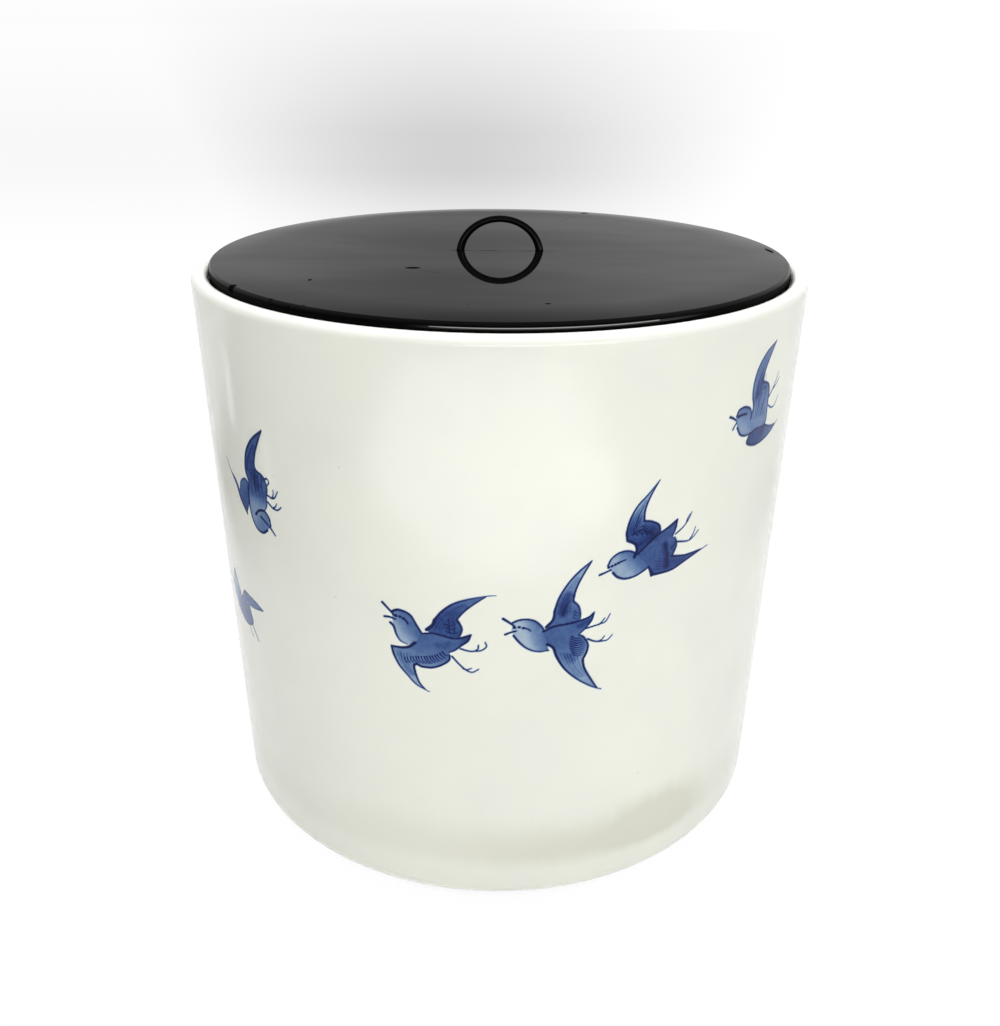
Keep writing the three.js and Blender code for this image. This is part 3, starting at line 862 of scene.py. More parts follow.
# Each figure: how it is painted, and how far it reaches across and upright, in millimetres
FIGURES = {
    "calling": (paint_calling, (-14.5, 18.2), (-18, 15)),
    "gliding": (paint_gliding, (-14, 18), (-21, 21)),
    "turning": (paint_turning, (-16.7, 19.8), (-9, 20.2)),
    "climbing": (paint_climbing, (-15, 15.4), (-13.6, 16)),
    "diving": (paint_diving, (-19.4, 11.8), (-13, 20)),
    "distant": (paint_distant, (-18.6, 13.8), (-11.6, 10)),
}

PAINT_LAYER = "pigment"
FAINTEST_PAINT = 0.004

# Each bird: name, figure, place round the wall and height in millimetres, tilt in degrees, size
FLOCK = (
    ("plover_calling", "calling", -17, 94, 0, 1.0),
    ("plover_gliding", "gliding", 14, 96, 0, 1.0),
    ("plover_turning", "turning", 41, 116, 0, 1.0),
    ("plover_climbing", "climbing", 76, 148, 0, 1.0),
    ("plover_diving", "diving", -71, 123, 0, 1.0),
    ("plover_distant", "distant", -88, 82, 0, 1.0),
    ("plover_behind_right", "gliding", 132, 132, 12, 0.94),
    ("plover_behind_middle", "calling", 196, 112, -8, 1.0),
    ("plover_behind_low", "turning", 246, 84, 6, 1.02),
    ("plover_behind_left", "climbing", 318, 118, 14, 1.04),
    ("plover_behind_high", "gliding", 392, 138, -14, 0.96),
)


def wall_radius(jar, z):
    """Outside radius of the straight wall at a height."""
    low = jar.foot_height + jar.heel_height
    high = jar.rim_height - jar.lip_outer_round
    share = (z - low) / (high - low)
    return jar.rim_radius - jar.wall_lean * (1 - share)


def bird_mesh(jar, sizes, figure, around, height, tilt, size):
    """A thin skin of painted glaze that follows the wall, kept only where there is paint."""
    draw, across, upright = FIGURES[figure]
    cell = sizes.cell / MM
    columns = round((across[1] - across[0]) / cell)
    rows = round((upright[1] - upright[0]) / cell)
    mesh = bmesh.new()
    bmesh.ops.create_grid(mesh, x_segments=columns, y_segments=rows, size=0.5)
    middle = Vector(((across[0] + across[1]) / 2, (upright[0] + upright[1]) / 2, 0))
    bmesh.ops.scale(mesh, verts=mesh.verts, vec=(across[1] - across[0], upright[1] - upright[0], 1))
    bmesh.ops.translate(mesh, verts=mesh.verts, vec=middle)
    field = np.array([vertex.co.xy for vertex in mesh.verts], float)
    painting = Painting(field)
    draw(painting)
    layer = mesh.verts.layers.float.new(PAINT_LAYER)
    for vertex, amount in zip(mesh.verts, painting.pigment()):
        vertex[layer] = amount
    bare = [face for face in mesh.faces if all(vertex[layer] < FAINTEST_PAINT for vertex in face.verts)]
    bmesh.ops.delete(mesh, geom=bare, context="FACES")

    turn = Matrix.Rotation(math.radians(tilt), 2)
    root_faces = mesh.faces[:]
    grown = bmesh.ops.extrude_face_region(mesh, geom=root_faces, use_keep_orig=True)
    skin_faces = {part for part in grown["geom"] if isinstance(part, bmesh.types.BMFace)}
    skin_verts = {part for part in grown["geom"] if isinstance(part, bmesh.types.BMVert)}
    for vertex in mesh.verts:
        spot = turn @ (vertex.co.xy * size)
        z = (height + spot.y) * MM
        angle = (around + spot.x) * MM / jar.rim_radius
        radius = wall_radius(jar, z)
        radius += sizes.proud if vertex in skin_verts else -sizes.sunk
        vertex.co = (radius * math.sin(angle), -radius * math.cos(angle), z)
    bmesh.ops.recalc_face_normals(mesh, faces=mesh.faces)
    for edge in mesh.edges:
        tops = [face in skin_faces for face in edge.link_faces]
        if any(tops) and not all(tops):
            edge.smooth = False
    return mesh


# Materials

MOUTH = JAR_HIGH.x - 4.5 * MM
WALL_MIDDLE = JAR_HIGH.x - 1.5 * MM
BEHIND = 0.01
SHOWN_TO = ("Is Camera Ray", "Is Glossy Ray", "Is Transmission Ray")


class Value:
    """A number inside a material, so that shader maths reads as plain arithmetic."""

    def __init__(self, finish, socket):
        self.finish = finish
        self.socket = socket

    def __add__(self, other):
        return self.finish.maths("ADD", self, other)

    def __radd__(self, other):
        return self.finish.maths("ADD", other, self)

    def __sub__(self, other):
        return self.finish.maths("SUBTRACT", self, other)

    def __rsub__(self, other):
        return self.finish.maths("SUBTRACT", other, self)

    def __mul__(self, other):
        return self.finish.maths("MULTIPLY", self, other)

    def __rmul__(self, other):
        return self.finish.maths("MULTIPLY", other, self)

    def __truediv__(self, other):
        return self.finish.maths("DIVIDE", self, other)

    def __rtruediv__(self, other):
        return self.finish.maths("DIVIDE", other, self)


class Finish:
    """A material or world that is built node by node."""

    def __init__(self, tree):
        self.tree = tree
        tree.nodes.clear()

    def node(self, kind, settings, inputs):
        """A node with its settings, and then the values or links of its sockets."""
        made = self.tree.nodes.new(kind)
        for key, value in settings.items():
            if key == "stops":
                self.set_stops(made.color_ramp, value)
            else:
                setattr(made, key, value)
        for key, value in inputs.items():
            socket = made.inputs[key]
            if isinstance(value, Value):
                value = value.socket
            if isinstance(value, bpy.types.NodeSocket):
                self.tree.links.new(value, socket)
            else:
                socket.default_value = value
        return made

    def set_stops(self, ramp, stops):
        """Sets the colours of a ramp from pairs of place and colour."""
        while len(ramp.elements) < len(stops):
            ramp.elements.new(0.5)
        for element, (place, shade) in zip(ramp.elements, stops):
            element.position = place
            element.color = (*shade, 1)

    def maths(self, operation, *values):
        """One step of arithmetic on values or numbers."""
        inputs = dict(enumerate(values))
        return Value(self, self.node("ShaderNodeMath", {"operation": operation}, inputs).outputs[0])

    def place(self):
        """Where a point lies on the piece, in metres."""
        return self.node("ShaderNodeTexCoord", {}, {}).outputs["Object"]

    def split(self, vector):
        """The three parts of a vector."""
        parts = self.node("ShaderNodeSeparateXYZ", {}, {0: vector})
        return [Value(self, parts.outputs[number]) for number in range(3)]

    def step(self, value, low, high):
        """0 below low, 1 above high and smooth between them."""
        inputs = {"Value": value, "From Min": low, "From Max": high}
        made = self.node("ShaderNodeMapRange", {"interpolation_type": "SMOOTHSTEP"}, inputs)
        return Value(self, made.outputs[0])

    def noise(self, vector, scale, detail=2.0, roughness=0.5):
        """Soft noise about 0.5, with scale counted in waves to the metre."""
        inputs = {"Vector": vector, "Scale": scale, "Detail": detail, "Roughness": roughness}
        return Value(self, self.node("ShaderNodeTexNoise", {}, inputs).outputs[0])

    def cells(self, vector, scale):
        """Distance to the nearest of many scattered points, counted in their spacing."""
        inputs = {"Vector": vector, "Scale": scale}
        return Value(self, self.node("ShaderNodeTexVoronoi", {}, inputs).outputs["Distance"])

    def mix(self, factor, first, second, blend="MIX"):
        """A colour that goes from the first to the second as the factor goes from 0 to 1."""
        settings = {"data_type": "RGBA", "blend_type": blend}
        return self.node("ShaderNodeMix", settings, {0: factor, 6: first, 7: second}).outputs[2]

    def bump(self, height, distance):
        """The normal of a surface raised by a height from 0 to 1 times a distance."""
        return self.node("ShaderNodeBump", {}, {"Height": height, "Distance": distance}).outputs[0]

    def shader(self, inputs):
        """The shader of a solid surface."""
        return self.node("ShaderNodeBsdfPrincipled", {}, inputs).outputs[0]

    def rays(self, *kinds):
        """1 for light that comes along one of these kinds of ray, and 0 for the rest."""
        path = self.node("ShaderNodeLightPath", {}, {})
        total = Value(self, path.outputs[kinds[0]])
        for kind in kinds[1:]:
            total = total + Value(self, path.outputs[kind])
        return self.maths("MINIMUM", total, 1.0)

    def finished(self, shader):
        """Ends the material in a shader."""
        self.node("ShaderNodeOutputMaterial", {}, {"Surface": shader})


def new_material(name):
    """An empty material and what builds its nodes."""
    material = bpy.data.materials.new(name)
    material.use_nodes = True
    return material, Finish(material.node_tree)


def opaque(shade):
    """A colour with full alpha."""
    return (*shade, 1)


def grey(light):
    """A grey with full alpha."""
    return (light, light, light, 1)


def pooled_glaze_and_shade(glaze, place, radius, clouds, drift):
    """How much glaze has gathered, with painted shade, in a ragged band above the heel, strongest at the
    front right.
    """
    x, y, z = glaze.split(place)
    stretched = glaze.node("ShaderNodeCombineXYZ", {}, {0: x, 1: y, 2: z * 0.22}).outputs[0]
    runs = glaze.noise(stretched, 230, 3.0, 0.6)
    low = z + (drift - 0.5) * (5 * MM) + (runs - 0.5) * (1.5 * MM)
    high = z + (runs - 0.5) * (6 * MM) + (clouds - 0.5) * (16 * MM)
    band = glaze.step(low, 15 * MM, 22.5 * MM) * (1 - glaze.step(high, 24 * MM, 38.5 * MM))
    outside = glaze.step(radius, WALL_MIDDLE - 0.5 * MM, WALL_MIDDLE + 0.5 * MM)
    strong = 0.28 + 0.72 * glaze.step(x + (drift - 0.5) * (50 * MM), -52 * MM, 40 * MM)
    strong = strong + 0.9 * glaze.step(x, 26 * MM, 44 * MM) * (1 - glaze.step(x, 50 * MM, 64 * MM))
    strong = strong * (1 - 0.65 * glaze.step(x, 52 * MM, 70 * MM))
    strong = 0.5 + (strong - 0.5) * (1 - glaze.step(y, -30 * MM, 40 * MM))
    return glaze.maths("MINIMUM", band * outside * strong * (0.85 + 0.3 * runs), 1.0)


def under_paint(glaze, place, shade, colours):
    """The glaze over the blue, which takes more of the light the more pigment there is."""
    absorb = []
    for white, blue in zip(colours.glaze, colours.blue_wash):
        absorb.append(math.log(max(white, 0.01) / max(blue, 0.001)))
    full = Painting.deepest
    stops = []
    for depth in (0, 0.05, 0.12, 0.22, 0.34, 0.5, 0.7, 1.0):
        stops.append((depth, [math.exp(-full * depth * part) for part in absorb]))
    layer = {"attribute_type": "GEOMETRY", "attribute_name": PAINT_LAYER}
    pigment = Value(glaze, glaze.node("ShaderNodeAttribute", layer, {}).outputs["Fac"])
    grain = 0.82 + 0.36 * glaze.noise(place, 900, 3.0, 0.6)
    brushed = 0.78 + 0.44 * glaze.noise(place, 330, 3.0, 0.6)
    ramp = glaze.node("ShaderNodeValToRGB", {"stops": stops}, {"Fac": pigment * grain * brushed / full})
    return glaze.mix(1.0, shade, ramp.outputs[0], "MULTIPLY")


def porcelain_material(colours):
    """Glossy white glaze over porcelain, with blue pigment under it and bare clay under the foot."""
    found = bpy.data.materials.get("Glazed Porcelain")
    if found:
        return found
    material, glaze = new_material("Glazed Porcelain")
    place = glaze.place()
    x, y, z = glaze.split(place)
    radius = glaze.maths("SQRT", x * x + y * y)
    clouds = glaze.noise(place, 26, 3.0, 0.55)
    drift = glaze.noise(place, 11, 1.0)
    fine = glaze.noise(place, 420, 2.0)

    shade = glaze.mix(glaze.step(clouds, 0.35, 0.75), opaque(colours.glaze), opaque(colours.glaze_cloud))
    # A darker band above the heel: partly pooled glaze, partly painted shade, stronger at the front right
    # than behind
    pool = pooled_glaze_and_shade(glaze, place, radius, clouds, drift)
    shade = glaze.mix(pool, shade, opaque(colours.glaze_pool_and_shade))
    # The top of the lip is paler: partly glaze drawn thin there, partly a painted highlight
    lip = glaze.step(radius, MOUTH - 1.5 * MM, MOUTH + 0.5 * MM)
    thin = glaze.step(z, JAR_HIGH.z - 2.6 * MM, JAR_HIGH.z - 0.3 * MM) * lip
    shade = glaze.mix(thin, shade, opaque(colours.thin_glaze_highlight))
    speck = 1 - glaze.step(glaze.cells(place, 72), 0.012, 0.026)
    shade = glaze.mix(speck * 0.3, shade, opaque(colours.iron_speck))
    shade = under_paint(glaze, place, shade, colours)

    foot = glaze.step(radius, 60 * MM, 61 * MM)
    under_foot = (1 - glaze.step(z, 1.0 * MM, 1.5 * MM)) * foot
    blush = (1 - glaze.step(z, 1.4 * MM, 2.1 * MM)) * foot
    shade = glaze.mix(blush * 0.6, shade, opaque(colours.clay_blush))
    clay = glaze.mix(glaze.step(fine, 0.35, 0.7), opaque(colours.bare_clay), opaque(colours.glaze_pool_and_shade))
    shade = glaze.mix(under_foot, shade, clay)

    inside = 1 - glaze.step(radius, MOUTH - 0.8 * MM, MOUTH - 0.4 * MM)
    inside = inside * glaze.step(z, 10.5 * MM, 11.5 * MM)
    thrown = glaze.maths("SINE", (z + radius) * 1100 + drift * 9)
    swell = glaze.noise(place, 48, 1.0) + inside * thrown * 0.25 + glaze.noise(place, 700, 1.0) * 0.03
    grit = under_foot * fine * 0.5
    glaze.finished(glaze.shader({
        "Base Color": shade,
        "Roughness": 0.13 + 0.05 * clouds + 0.5 * under_foot,
        "IOR": 1.5,
        "Specular IOR Level": 0.3,
        "Normal": glaze.bump(swell + grit, 0.16 * MM),
    }))
    return material


# Faults of the lid: across, along, width and depth in millimetres, tilt in degrees, strength
KNOCKS = (
    (-23.4, -25.9, 4.2, 2.6, 0, 1.0),
    (-17.6, -31.2, 4.4, 0.5, -18, 0.8),
    (-48.5, -41.8, 1.0, 2.0, 0, 1.0),
    (11.4, -66.1, 1.6, 1.2, 0, 1.0),
    (-54.8, -61.0, 1.2, 1.0, 0, 0.8),
    (-50.2, -66.0, 1.4, 1.0, 30, 0.8),
    (-46.0, -67.2, 1.0, 0.8, 0, 0.7),
    (-67.4, -47.0, 2.6, 3.2, 35, 1.0),
    (79.3, 4.2, 1.6, 7.0, 8, 1.0),
    (29.6, 71.6, 2.4, 5.0, -20, 0.8),
    (22.6, 57.0, 0.4, 17.0, -28, 0.35),
    (-7.6, -67.2, 0.8, 0.7, 0, 0.7),
)


def knocks(lacquer, x, y, wander):
    """The old knocks in the lid, each a soft spot with a ragged edge."""
    total = 0.0
    for across, along, wide, deep, tilt, strength in KNOCKS:
        c = math.cos(math.radians(tilt))
        s = math.sin(math.radians(tilt))
        dx = x - across * MM
        dy = y - along * MM
        u = (dx * c + dy * s) / (wide * MM / 2)
        v = (dy * c - dx * s) / (deep * MM / 2)
        gap = u * u + v * v + (wander - 0.5) * 1.1
        total = lacquer.maths("MAXIMUM", total, (1 - lacquer.step(gap, 0.55, 1.25)) * strength)
    return total


def hairline(lacquer, x, y, place, smear):
    """A fine crack that runs under the arch and a little past its feet, broken here and there."""
    crack = lacquer.maths("ABSOLUTE", y + 0.7 * MM + (smear - 0.5) * (1.6 * MM))
    reach = 1 - lacquer.step(lacquer.maths("ABSOLUTE", x), 15.0 * MM, 16.2 * MM)
    broken = lacquer.step(lacquer.noise(place, 240, 1.0), 0.36, 0.56)
    return (1 - lacquer.step(crack, 0.12 * MM, 0.42 * MM)) * reach * (0.3 + 0.7 * broken)


def board_material(colours):
    """Polished black lacquer with a soft waviness, a hairline under the arch and a few old knocks."""
    material, lacquer = new_material("Black Lacquer Board")
    place = lacquer.place()
    x, y, z = lacquer.split(place)
    wander = lacquer.noise(place, 520, 3.0, 0.65)
    stretched = lacquer.node("ShaderNodeCombineXYZ", {}, {0: x * 0.35, 1: y, 2: z}).outputs[0]
    smear = lacquer.noise(stretched, 30, 3.0, 0.6)
    top = lacquer.step(z, BOARD_HIGH.z - 2.4 * MM, BOARD_HIGH.z - 1.8 * MM)

    line = hairline(lacquer, x, y, place, smear)
    faults = lacquer.maths("MAXIMUM", knocks(lacquer, x, y, wander), line) * top

    dust = 1 - lacquer.step(lacquer.cells(place, 95), 0.010, 0.022)
    shade = lacquer.mix(dust * 0.20 * top, opaque(colours.lacquer), (0.4, 0.39, 0.38, 1))
    under = 1 - lacquer.step(z, BOARD_LOW.z + 0.2 * MM, BOARD_LOW.z + 0.9 * MM)
    # Painted shade: the rolled edge is darkened in colour and loses most of its coat, so that it looks black
    rim = 1 - lacquer.step(z, BOARD_HIGH.z - 1.5 * MM, BOARD_HIGH.z - 0.6 * MM)
    shade = lacquer.mix(rim * 0.8, shade, grey(0.0004))
    gloss = (1 - 0.5 * under) * (1 - 0.9 * rim) * (0.50 + 0.12 * lacquer.step(smear, 0.3, 0.7))
    side = 1 - lacquer.step(z, BOARD_HIGH.z - 1.7 * MM, BOARD_HIGH.z - 1.5 * MM)
    side = side * lacquer.step(z, BOARD_HIGH.z - 2.2 * MM, BOARD_HIGH.z - 2.0 * MM)
    front = 1 - lacquer.step(lacquer.maths("ABSOLUTE", x - 14 * MM), 24 * MM, 38 * MM)
    front = front * (1 - lacquer.step(y, -70 * MM, -60 * MM))
    gloss = lacquer.maths("MAXIMUM", gloss, side * front)
    waves = lacquer.noise(stretched, 60, 2.0) + 0.12 * lacquer.noise(place, 150, 1.0)
    relief = lacquer.bump(waves - faults * 0.6, 0.13 * MM)
    polished = lacquer.shader({
        "Base Color": shade,
        "Roughness": 0.38 + 0.2 * under,
        "Specular IOR Level": 0.0,
        "Coat Weight": gloss,
        "Coat Roughness": 0.025,
        "Coat IOR": 1.5,
        "Normal": relief,
    })
    dull = lacquer.shader({
        "Base Color": opaque(colours.lacquer_worn),
        "Roughness": 0.65,
        "Specular IOR Level": 0.0,
        "Normal": relief,
    })
    worn = lacquer.node("ShaderNodeMixShader", {}, {0: faults * 0.95, 1: polished, 2: dull})
    lacquer.finished(worn.outputs[0])
    return material


def arch_material(colours):
    """Black lacquer over the bent arch, a little softer than the board and rubbed along its crown."""
    material, lacquer = new_material("Black Lacquer Arch")
    place = lacquer.place()
    z = lacquer.split(place)[2]
    rub = lacquer.noise(place, 160, 2.0)
    crown = lacquer.step(z, ARCH_HIGH.z - 2.4 * MM, ARCH_HIGH.z)
    shade = lacquer.mix(crown * rub * 0.5, opaque(colours.lacquer), (0.012, 0.009, 0.008, 1))
    swell = lacquer.noise(place, 150, 2.0) + 0.1 * lacquer.noise(place, 900, 1.0)
    lacquer.finished(lacquer.shader({
        "Base Color": shade,
        "Roughness": 0.30 + 0.15 * rub,
        "Specular IOR Level": 0.0,
        "Coat Weight": 0.08 - 0.03 * crown * rub,
        "Coat Roughness": 0.05,
        "Coat IOR": 1.5,
        "Normal": lacquer.bump(swell, 0.12 * MM),
    }))
    return material


def haze(finish, x, y):
    """A soft grey cloud behind the jar with a fainter veil at its left, for a place or a direction."""
    turn = x / finish.maths("MAXIMUM", y, BEHIND) + 0.05
    cloud = 1 - finish.step(finish.maths("ABSOLUTE", turn), 0.0, 0.37)
    veil = 0.2 * finish.step(0.0 - turn, 0.12, 0.26)
    return finish.maths("MAXIMUM", cloud, veil) * finish.step(y, 0.0, BEHIND)


def paper_material(colours):
    """Pale paper that looks white far from the jar and keeps its soft shadow close to it."""
    material, paper = new_material("Studio Paper")
    place = paper.place()
    x, y, _ = paper.split(place)
    away = paper.maths("SQRT", x * x + y * y)
    fibre = paper.noise(place, 3, 2.0)
    pale = opaque(colours.paper)
    sheet = paper.mix(fibre * 0.1, pale, (0.9, 0.9, 0.92, 1))
    soft = paper.node("ShaderNodeBsdfDiffuse", {}, {"Color": sheet})
    share = 0.96 * paper.step(away, 0.068, 0.082) + 0.04 * paper.step(away, 0.12, 0.6)
    deep = paper.maths("MINIMUM", 0.34 + 1.5 / paper.maths("MAXIMUM", y, BEHIND), 0.94)
    deep = deep * paper.step(y, 0.6, 1.8)
    left = 0.85 * paper.step(0.0 - x, 0.20, 0.30)
    right = 0.25 * paper.step(x, 0.20, 0.30)
    front = 0.45 * paper.step(0.0 - y, 0.12, 0.20)
    sides = paper.maths("MAXIMUM", paper.maths("MAXIMUM", left, right), front)
    dim = paper.rays("Is Glossy Ray") * sides * (1 - paper.step(y, 0.15, 0.30))
    strength = 1.08 * (1 - 0.38 * deep * haze(paper, x, y)) * (1 - dim)
    glow = paper.node("ShaderNodeEmission", {}, {"Color": pale, "Strength": strength})
    factor = paper.rays(*SHOWN_TO) * share
    mixed = paper.node("ShaderNodeMixShader", {}, {0: factor, 1: soft.outputs[0], 2: glow.outputs[0]})
    paper.finished(mixed.outputs[0])
    return material


# Operators


class WATERJAR_OT_jar(Operator):
    """Turn the porcelain jar from its half section"""

    bl_idname = "waterjar.jar"
    bl_label = "Turn the Jar"

    def execute(self, context):
        jar = context.scene.waterjar_jar
        mesh = jar_section(jar).turned(jar.steps)
        glaze = porcelain_material(context.scene.waterjar_colours)
        piece = finish_piece(mesh, "porcelain_jar", "jar", glaze)
        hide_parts("jar_body")
        return {"FINISHED"}


class WATERJAR_OT_birds(Operator):
    """Paint the flock of plovers on the wall of the jar"""

    bl_idname = "waterjar.birds"
    bl_label = "Paint the Birds"

    def execute(self, context):
        jar = context.scene.waterjar_jar
        sizes = context.scene.waterjar_paint
        glaze = porcelain_material(context.scene.waterjar_colours)
        for name, figure, around, height, tilt, size in FLOCK:
            mesh = bird_mesh(jar, sizes, figure, around, height, tilt, size)
            finish_piece(mesh, name, "jar", glaze)
        return {"FINISHED"}


class WATERJAR_OT_board(Operator):
    """Turn the lacquered lid board from its half section"""

    bl_idname = "waterjar.board"
    bl_label = "Turn the Lid Board"

    def execute(self, context):
        lid = context.scene.waterjar_lid
        mesh = board_section(lid).turned(lid.steps)
        lacquer = board_material(context.scene.waterjar_colours)
        piece = finish_piece(mesh, "lacquered_lid_board", "lid", lacquer)
        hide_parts("lid_board")
        return {"FINISHED"}


class WATERJAR_OT_arch(Operator):
    """Bend the arch handle and cut its tenons"""

    bl_idname = "waterjar.arch"
    bl_label = "Bend the Arch"

    def execute(self, context):
        lacquer = arch_material(context.scene.waterjar_colours)
        mesh = arch_mesh(context.scene.waterjar_lid)
        piece = finish_piece(mesh, "lacquered_arch_handle", "lid", lacquer)
        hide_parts("lid_handle")
        return {"FINISHED"}


SENSOR = 36


class StudioSizes(PropertyGroup):
    """Camera and lamps of the studio."""

    distance: length("Camera distance", "From the jar's axis to the camera", 314.0 * MM)
    height: length("Camera height", "Height of the camera above the table", 231.2 * MM)
    lens: FloatProperty(name="Lens", description="Focal length on a 36 mm frame", default=36.51)
    rise: FloatProperty(name="Frame rise", description="Vertical shift of the frame", default=0.0848)
    pitch: FloatProperty(name="Pitch", description="Camera below level", default=0.5041, subtype="ANGLE")
    yaw: FloatProperty(name="Yaw", description="Camera turned to its right", default=0.0026, subtype="ANGLE")
    roll: FloatProperty(name="Roll", description="Camera leaned over", default=0.0078, subtype="ANGLE")
    key: power("Key lamp", "Power of the large lamp in front", 11.8)
    right: power("Right lamp", "Power of the lamp at the right", 0.6)
    top: power("Top lamp", "Power of the lamp above", 18.0)
    left: power("Left lamp", "Power of the lamp at the left", 6.0)
    back: power("Back lamp", "Power of the lamp behind", 9.0)
    glint: power("Front glint", "Power of the long lamp mirrored in the edge of the lid", 7.0)
    left_glint: power("Left glints", "Power of the small lamps mirrored at the left", 0.004)
    window: power("Window glint", "Power of the soft panel mirrored in the wall", 2.2)
    fill: FloatProperty(name="Room light", description="Strength of the room", default=0.06, min=0.0)
    floor: length("Floor", "Width of the pale floor", 240.0)


# Lamps that light the jar and aren't mirrored in it: name, setting, place, width and height in metres, tint
WIDE_LAMPS = (
    ("key_lamp", "key", (0.30, -1.25, 0.80), (1.2, 1.0), (1.0, 0.995, 0.975)),
    ("right_lamp", "right", (1.3, -0.6, 1.0), (0.8, 1.0), (1.0, 0.97, 1.0)),
    ("top_lamp", "top", (0.1, 0.1, 1.5), (1.2, 1.2), (1.0, 0.985, 1.0)),
    ("left_lamp", "left", (-0.7, 0.3, 1.4), (1.0, 1.0), (1.0, 0.97, 1.0)),
    ("back_lamp", "back", (0.0, 1.2, 1.2), (1.5, 1.0), (1.0, 0.985, 1.0)),
)
MIDDLE = (0, 0, 0.09)

# Lamps that are only mirrored: name, setting, place, what it faces, width and height in metres
GLINT_LAMPS = (
    ("window_glint", "window", (-0.03, -0.47, 0.001), (-0.03, -0.47, 1), (0.6, 0.35)),
    ("front_glint", "glint", (0.28, -0.92, 0.215), (0, 0, 0.172), (1.7, 0.18)),
    ("left_glint_far", "left_glint", (-0.328, 0.10, 0.055), (-0.07, -0.05, 0.15), (0.008, 0.035)),
    ("left_glint_near", "left_glint", (-0.356, -0.02, 0.02), (-0.06, -0.06, 0.13), (0.010, 0.035)),
)


def soft_lamp(name, watts, place, target, size, tint=(1.0, 1.0, 1.0)):
    """A rectangular lamp that faces a point."""
    data = bpy.data.lights.new(name, "AREA")
    data.shape = "RECTANGLE"
    data.size, data.size_y = size
    data.energy = watts
    data.color = tint
    lamp = bpy.data.objects.new(name, data)
    lamp.location = place
    lamp.rotation_euler = (Vector(target) - Vector(place)).to_track_quat("-Z", "Y").to_euler()
    lamp.visible_camera = False
    bpy.context.scene.collection.objects.link(lamp)
    return lamp


def hang_lamps(studio):
    """The large lamps that light the jar, and the small ones that are only mirrored in it."""
    for name, setting, place, size, tint in WIDE_LAMPS:
        lamp = soft_lamp(name, getattr(studio, setting), place, MIDDLE, size, tint)
        lamp.visible_glossy = False
    for name, setting, place, target, size in GLINT_LAMPS:
        lamp = soft_lamp(name, getattr(studio, setting), place, target, size)
        lamp.visible_diffuse = False


def lay_floor(width, material):
    """A wide flat floor of paper."""
    mesh = bmesh.new()
    bmesh.ops.create_grid(mesh, x_segments=2, y_segments=2, size=width / 2)
    data = bpy.data.meshes.new("studio_floor")
    mesh.to_mesh(data)
    mesh.free()
    floor = bpy.data.objects.new("studio_floor", data)
    bpy.context.scene.collection.objects.link(floor)
    data.materials.append(material)


def set_camera(studio):
    """The camera of the photo, which looks down at the jar through a shifted frame."""
    data = bpy.data.cameras.new("photo_camera")
    data.sensor_fit = "VERTICAL"
    data.sensor_width = data.sensor_height = SENSOR
    data.lens = studio.lens
    data.shift_y = studio.rise
    data.clip_start = 0.01
    data.clip_end = 400
    camera = bpy.data.objects.new("photo_camera", data)
    level = Vector((math.cos(studio.yaw), -math.sin(studio.yaw), 0))
    ahead = Vector((math.sin(studio.yaw), math.cos(studio.yaw), 0))
    forward = ahead * math.cos(studio.pitch) - Vector((0, 0, math.sin(studio.pitch)))
    over = level.cross(forward)
    right = math.cos(studio.roll) * level + math.sin(studio.roll) * over
    up = math.cos(studio.roll) * over - math.sin(studio.roll) * level
    turned = Matrix((right, up, -forward)).transposed().to_4x4()
    camera.matrix_world = Matrix.Translation((0, -studio.distance, studio.height)) @ turned
    bpy.context.scene.collection.objects.link(camera)
    bpy.context.scene.camera = camera


# How bright the room looks from straight down to straight up: share of the way, grey
ROOM_STOPS = (
    (0.0, (1.0, 1.0, 1.0)),
    (0.512, (1.0, 1.0, 1.0)),
    (0.54, (0.81, 0.81, 0.82)),
    (0.60, (0.65, 0.65, 0.66)),
    (0.66, (0.55, 0.55, 0.56)),
    (0.75, (0.36, 0.36, 0.36)),
    (1.0, (0.14, 0.14, 0.14)),
)


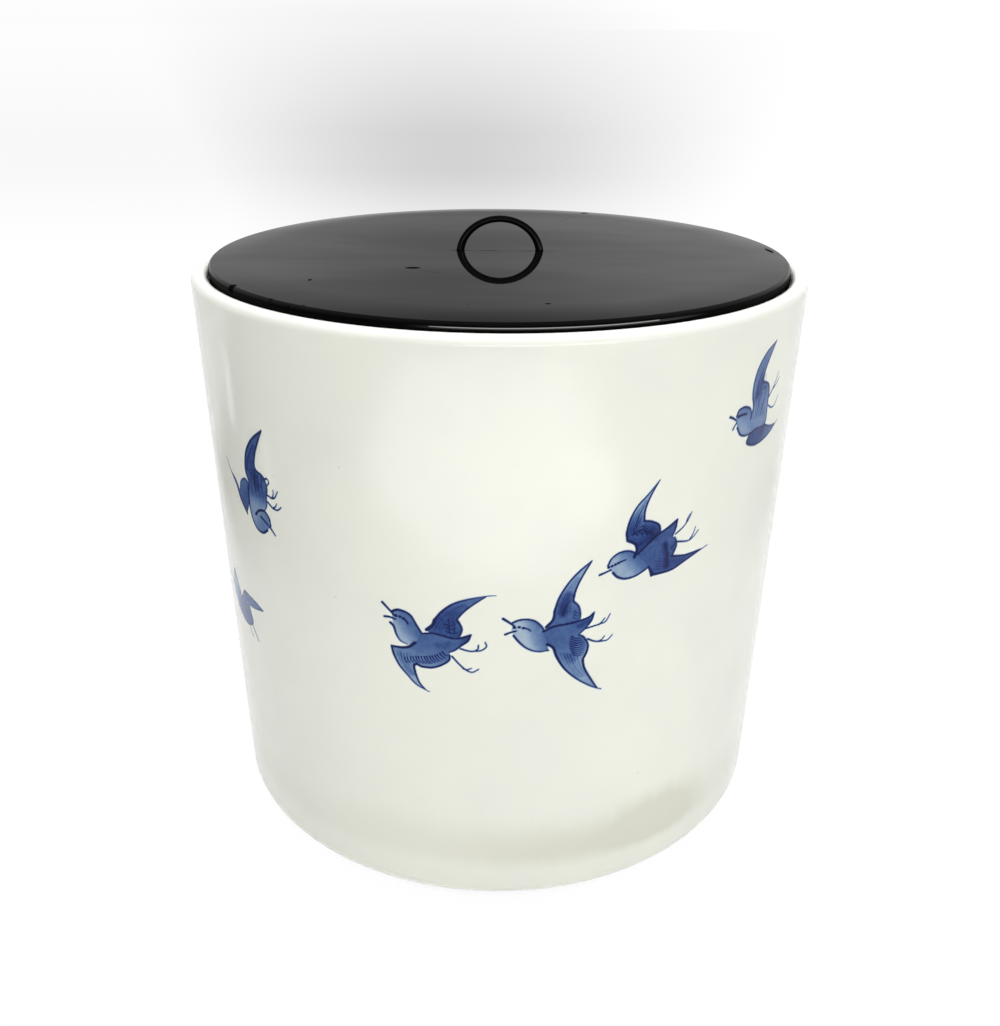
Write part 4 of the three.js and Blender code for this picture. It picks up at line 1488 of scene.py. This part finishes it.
def room(strength):
    """A plain room that looks white low down and grey above, with the cloud of the floor carried on up."""
    world = bpy.data.worlds.new("Room")
    bpy.context.scene.world = world
    world.use_nodes = True
    nodes = Finish(world.node_tree)
    direction = nodes.node("ShaderNodeTexCoord", {}, {}).outputs["Generated"]
    x, y, z = nodes.split(direction)
    walls = nodes.node("ShaderNodeValToRGB", {"stops": ROOM_STOPS}, {"Fac": z * 0.5 + 0.5})
    cloud = haze(nodes, x, y)
    high = nodes.step(z, 0.03, 0.10)
    low_cloud = (0.12 - 0.07 * nodes.step(z, 0.0, 0.03)) * cloud * (1 - high)
    high_cloud = 0.34 * high * cloud * cloud
    shown = (1 - low_cloud) * (1 - high_cloud) * (1 + 0.3 * nodes.maths("MAXIMUM", x, 0.0))
    lit = nodes.node("ShaderNodeBackground", {}, {"Color": grey(1), "Strength": strength})
    seen = nodes.node("ShaderNodeBackground", {}, {"Color": walls.outputs[0], "Strength": shown})
    factor = nodes.rays(*SHOWN_TO)
    mixed = nodes.node("ShaderNodeMixShader", {}, {0: factor, 1: lit.outputs[0], 2: seen.outputs[0]})
    nodes.node("ShaderNodeOutputWorld", {}, {"Surface": mixed.outputs[0]})


class WATERJAR_OT_studio(Operator):
    """Lay the floor, hang the lamps and set the camera"""

    bl_idname = "waterjar.studio"
    bl_label = "Set the Studio"

    def execute(self, context):
        studio = context.scene.waterjar_studio
        lay_floor(studio.floor, paper_material(context.scene.waterjar_colours))
        hang_lamps(studio)
        room(studio.fill)
        set_camera(studio)
        context.scene.view_settings.view_transform = "Standard"
        return {"FINISHED"}


class WATERJAR_PT_panel(Panel):
    """Lists the steps that dress the jar, and its sizes and colours"""

    bl_label = "Water Jar"
    bl_space_type = "VIEW_3D"
    bl_region_type = "UI"
    bl_category = "Water Jar"

    def draw(self, context):
        for step in STEPS:
            self.layout.operator(step.bl_idname)
        for name, _ in GROUPS:
            group = getattr(context.scene, name)
            box = self.layout.box()
            for field in group.bl_rna.properties:
                if not field.is_readonly and field.identifier != "name":
                    box.prop(group, field.identifier)


STEPS = (WATERJAR_OT_studio, WATERJAR_OT_jar, WATERJAR_OT_birds, WATERJAR_OT_board, WATERJAR_OT_arch)
GROUPS = (
    ("waterjar_jar", JarSizes),
    ("waterjar_lid", LidSizes),
    ("waterjar_paint", PaintSizes),
    ("waterjar_colours", Colours),
    ("waterjar_studio", StudioSizes),
)


def register():
    """Registers the settings, the operators and the panel."""
    for name, group in GROUPS:
        bpy.utils.register_class(group)
        setattr(bpy.types.Scene, name, PointerProperty(type=group))
    for step in STEPS:
        bpy.utils.register_class(step)
    bpy.utils.register_class(WATERJAR_PT_panel)


def unregister():
    """Takes all of it away again."""
    bpy.utils.unregister_class(WATERJAR_PT_panel)
    for step in reversed(STEPS):
        bpy.utils.unregister_class(step)
    for name, group in reversed(GROUPS):
        delattr(bpy.types.Scene, name)
        bpy.utils.unregister_class(group)


def main():
    """Dresses the jar."""
    register()
    bpy.ops.waterjar.studio()
    bpy.ops.waterjar.jar()
    bpy.ops.waterjar.birds()
    bpy.ops.waterjar.board()
    bpy.ops.waterjar.arch()


if __name__ == "__main__":
    main()
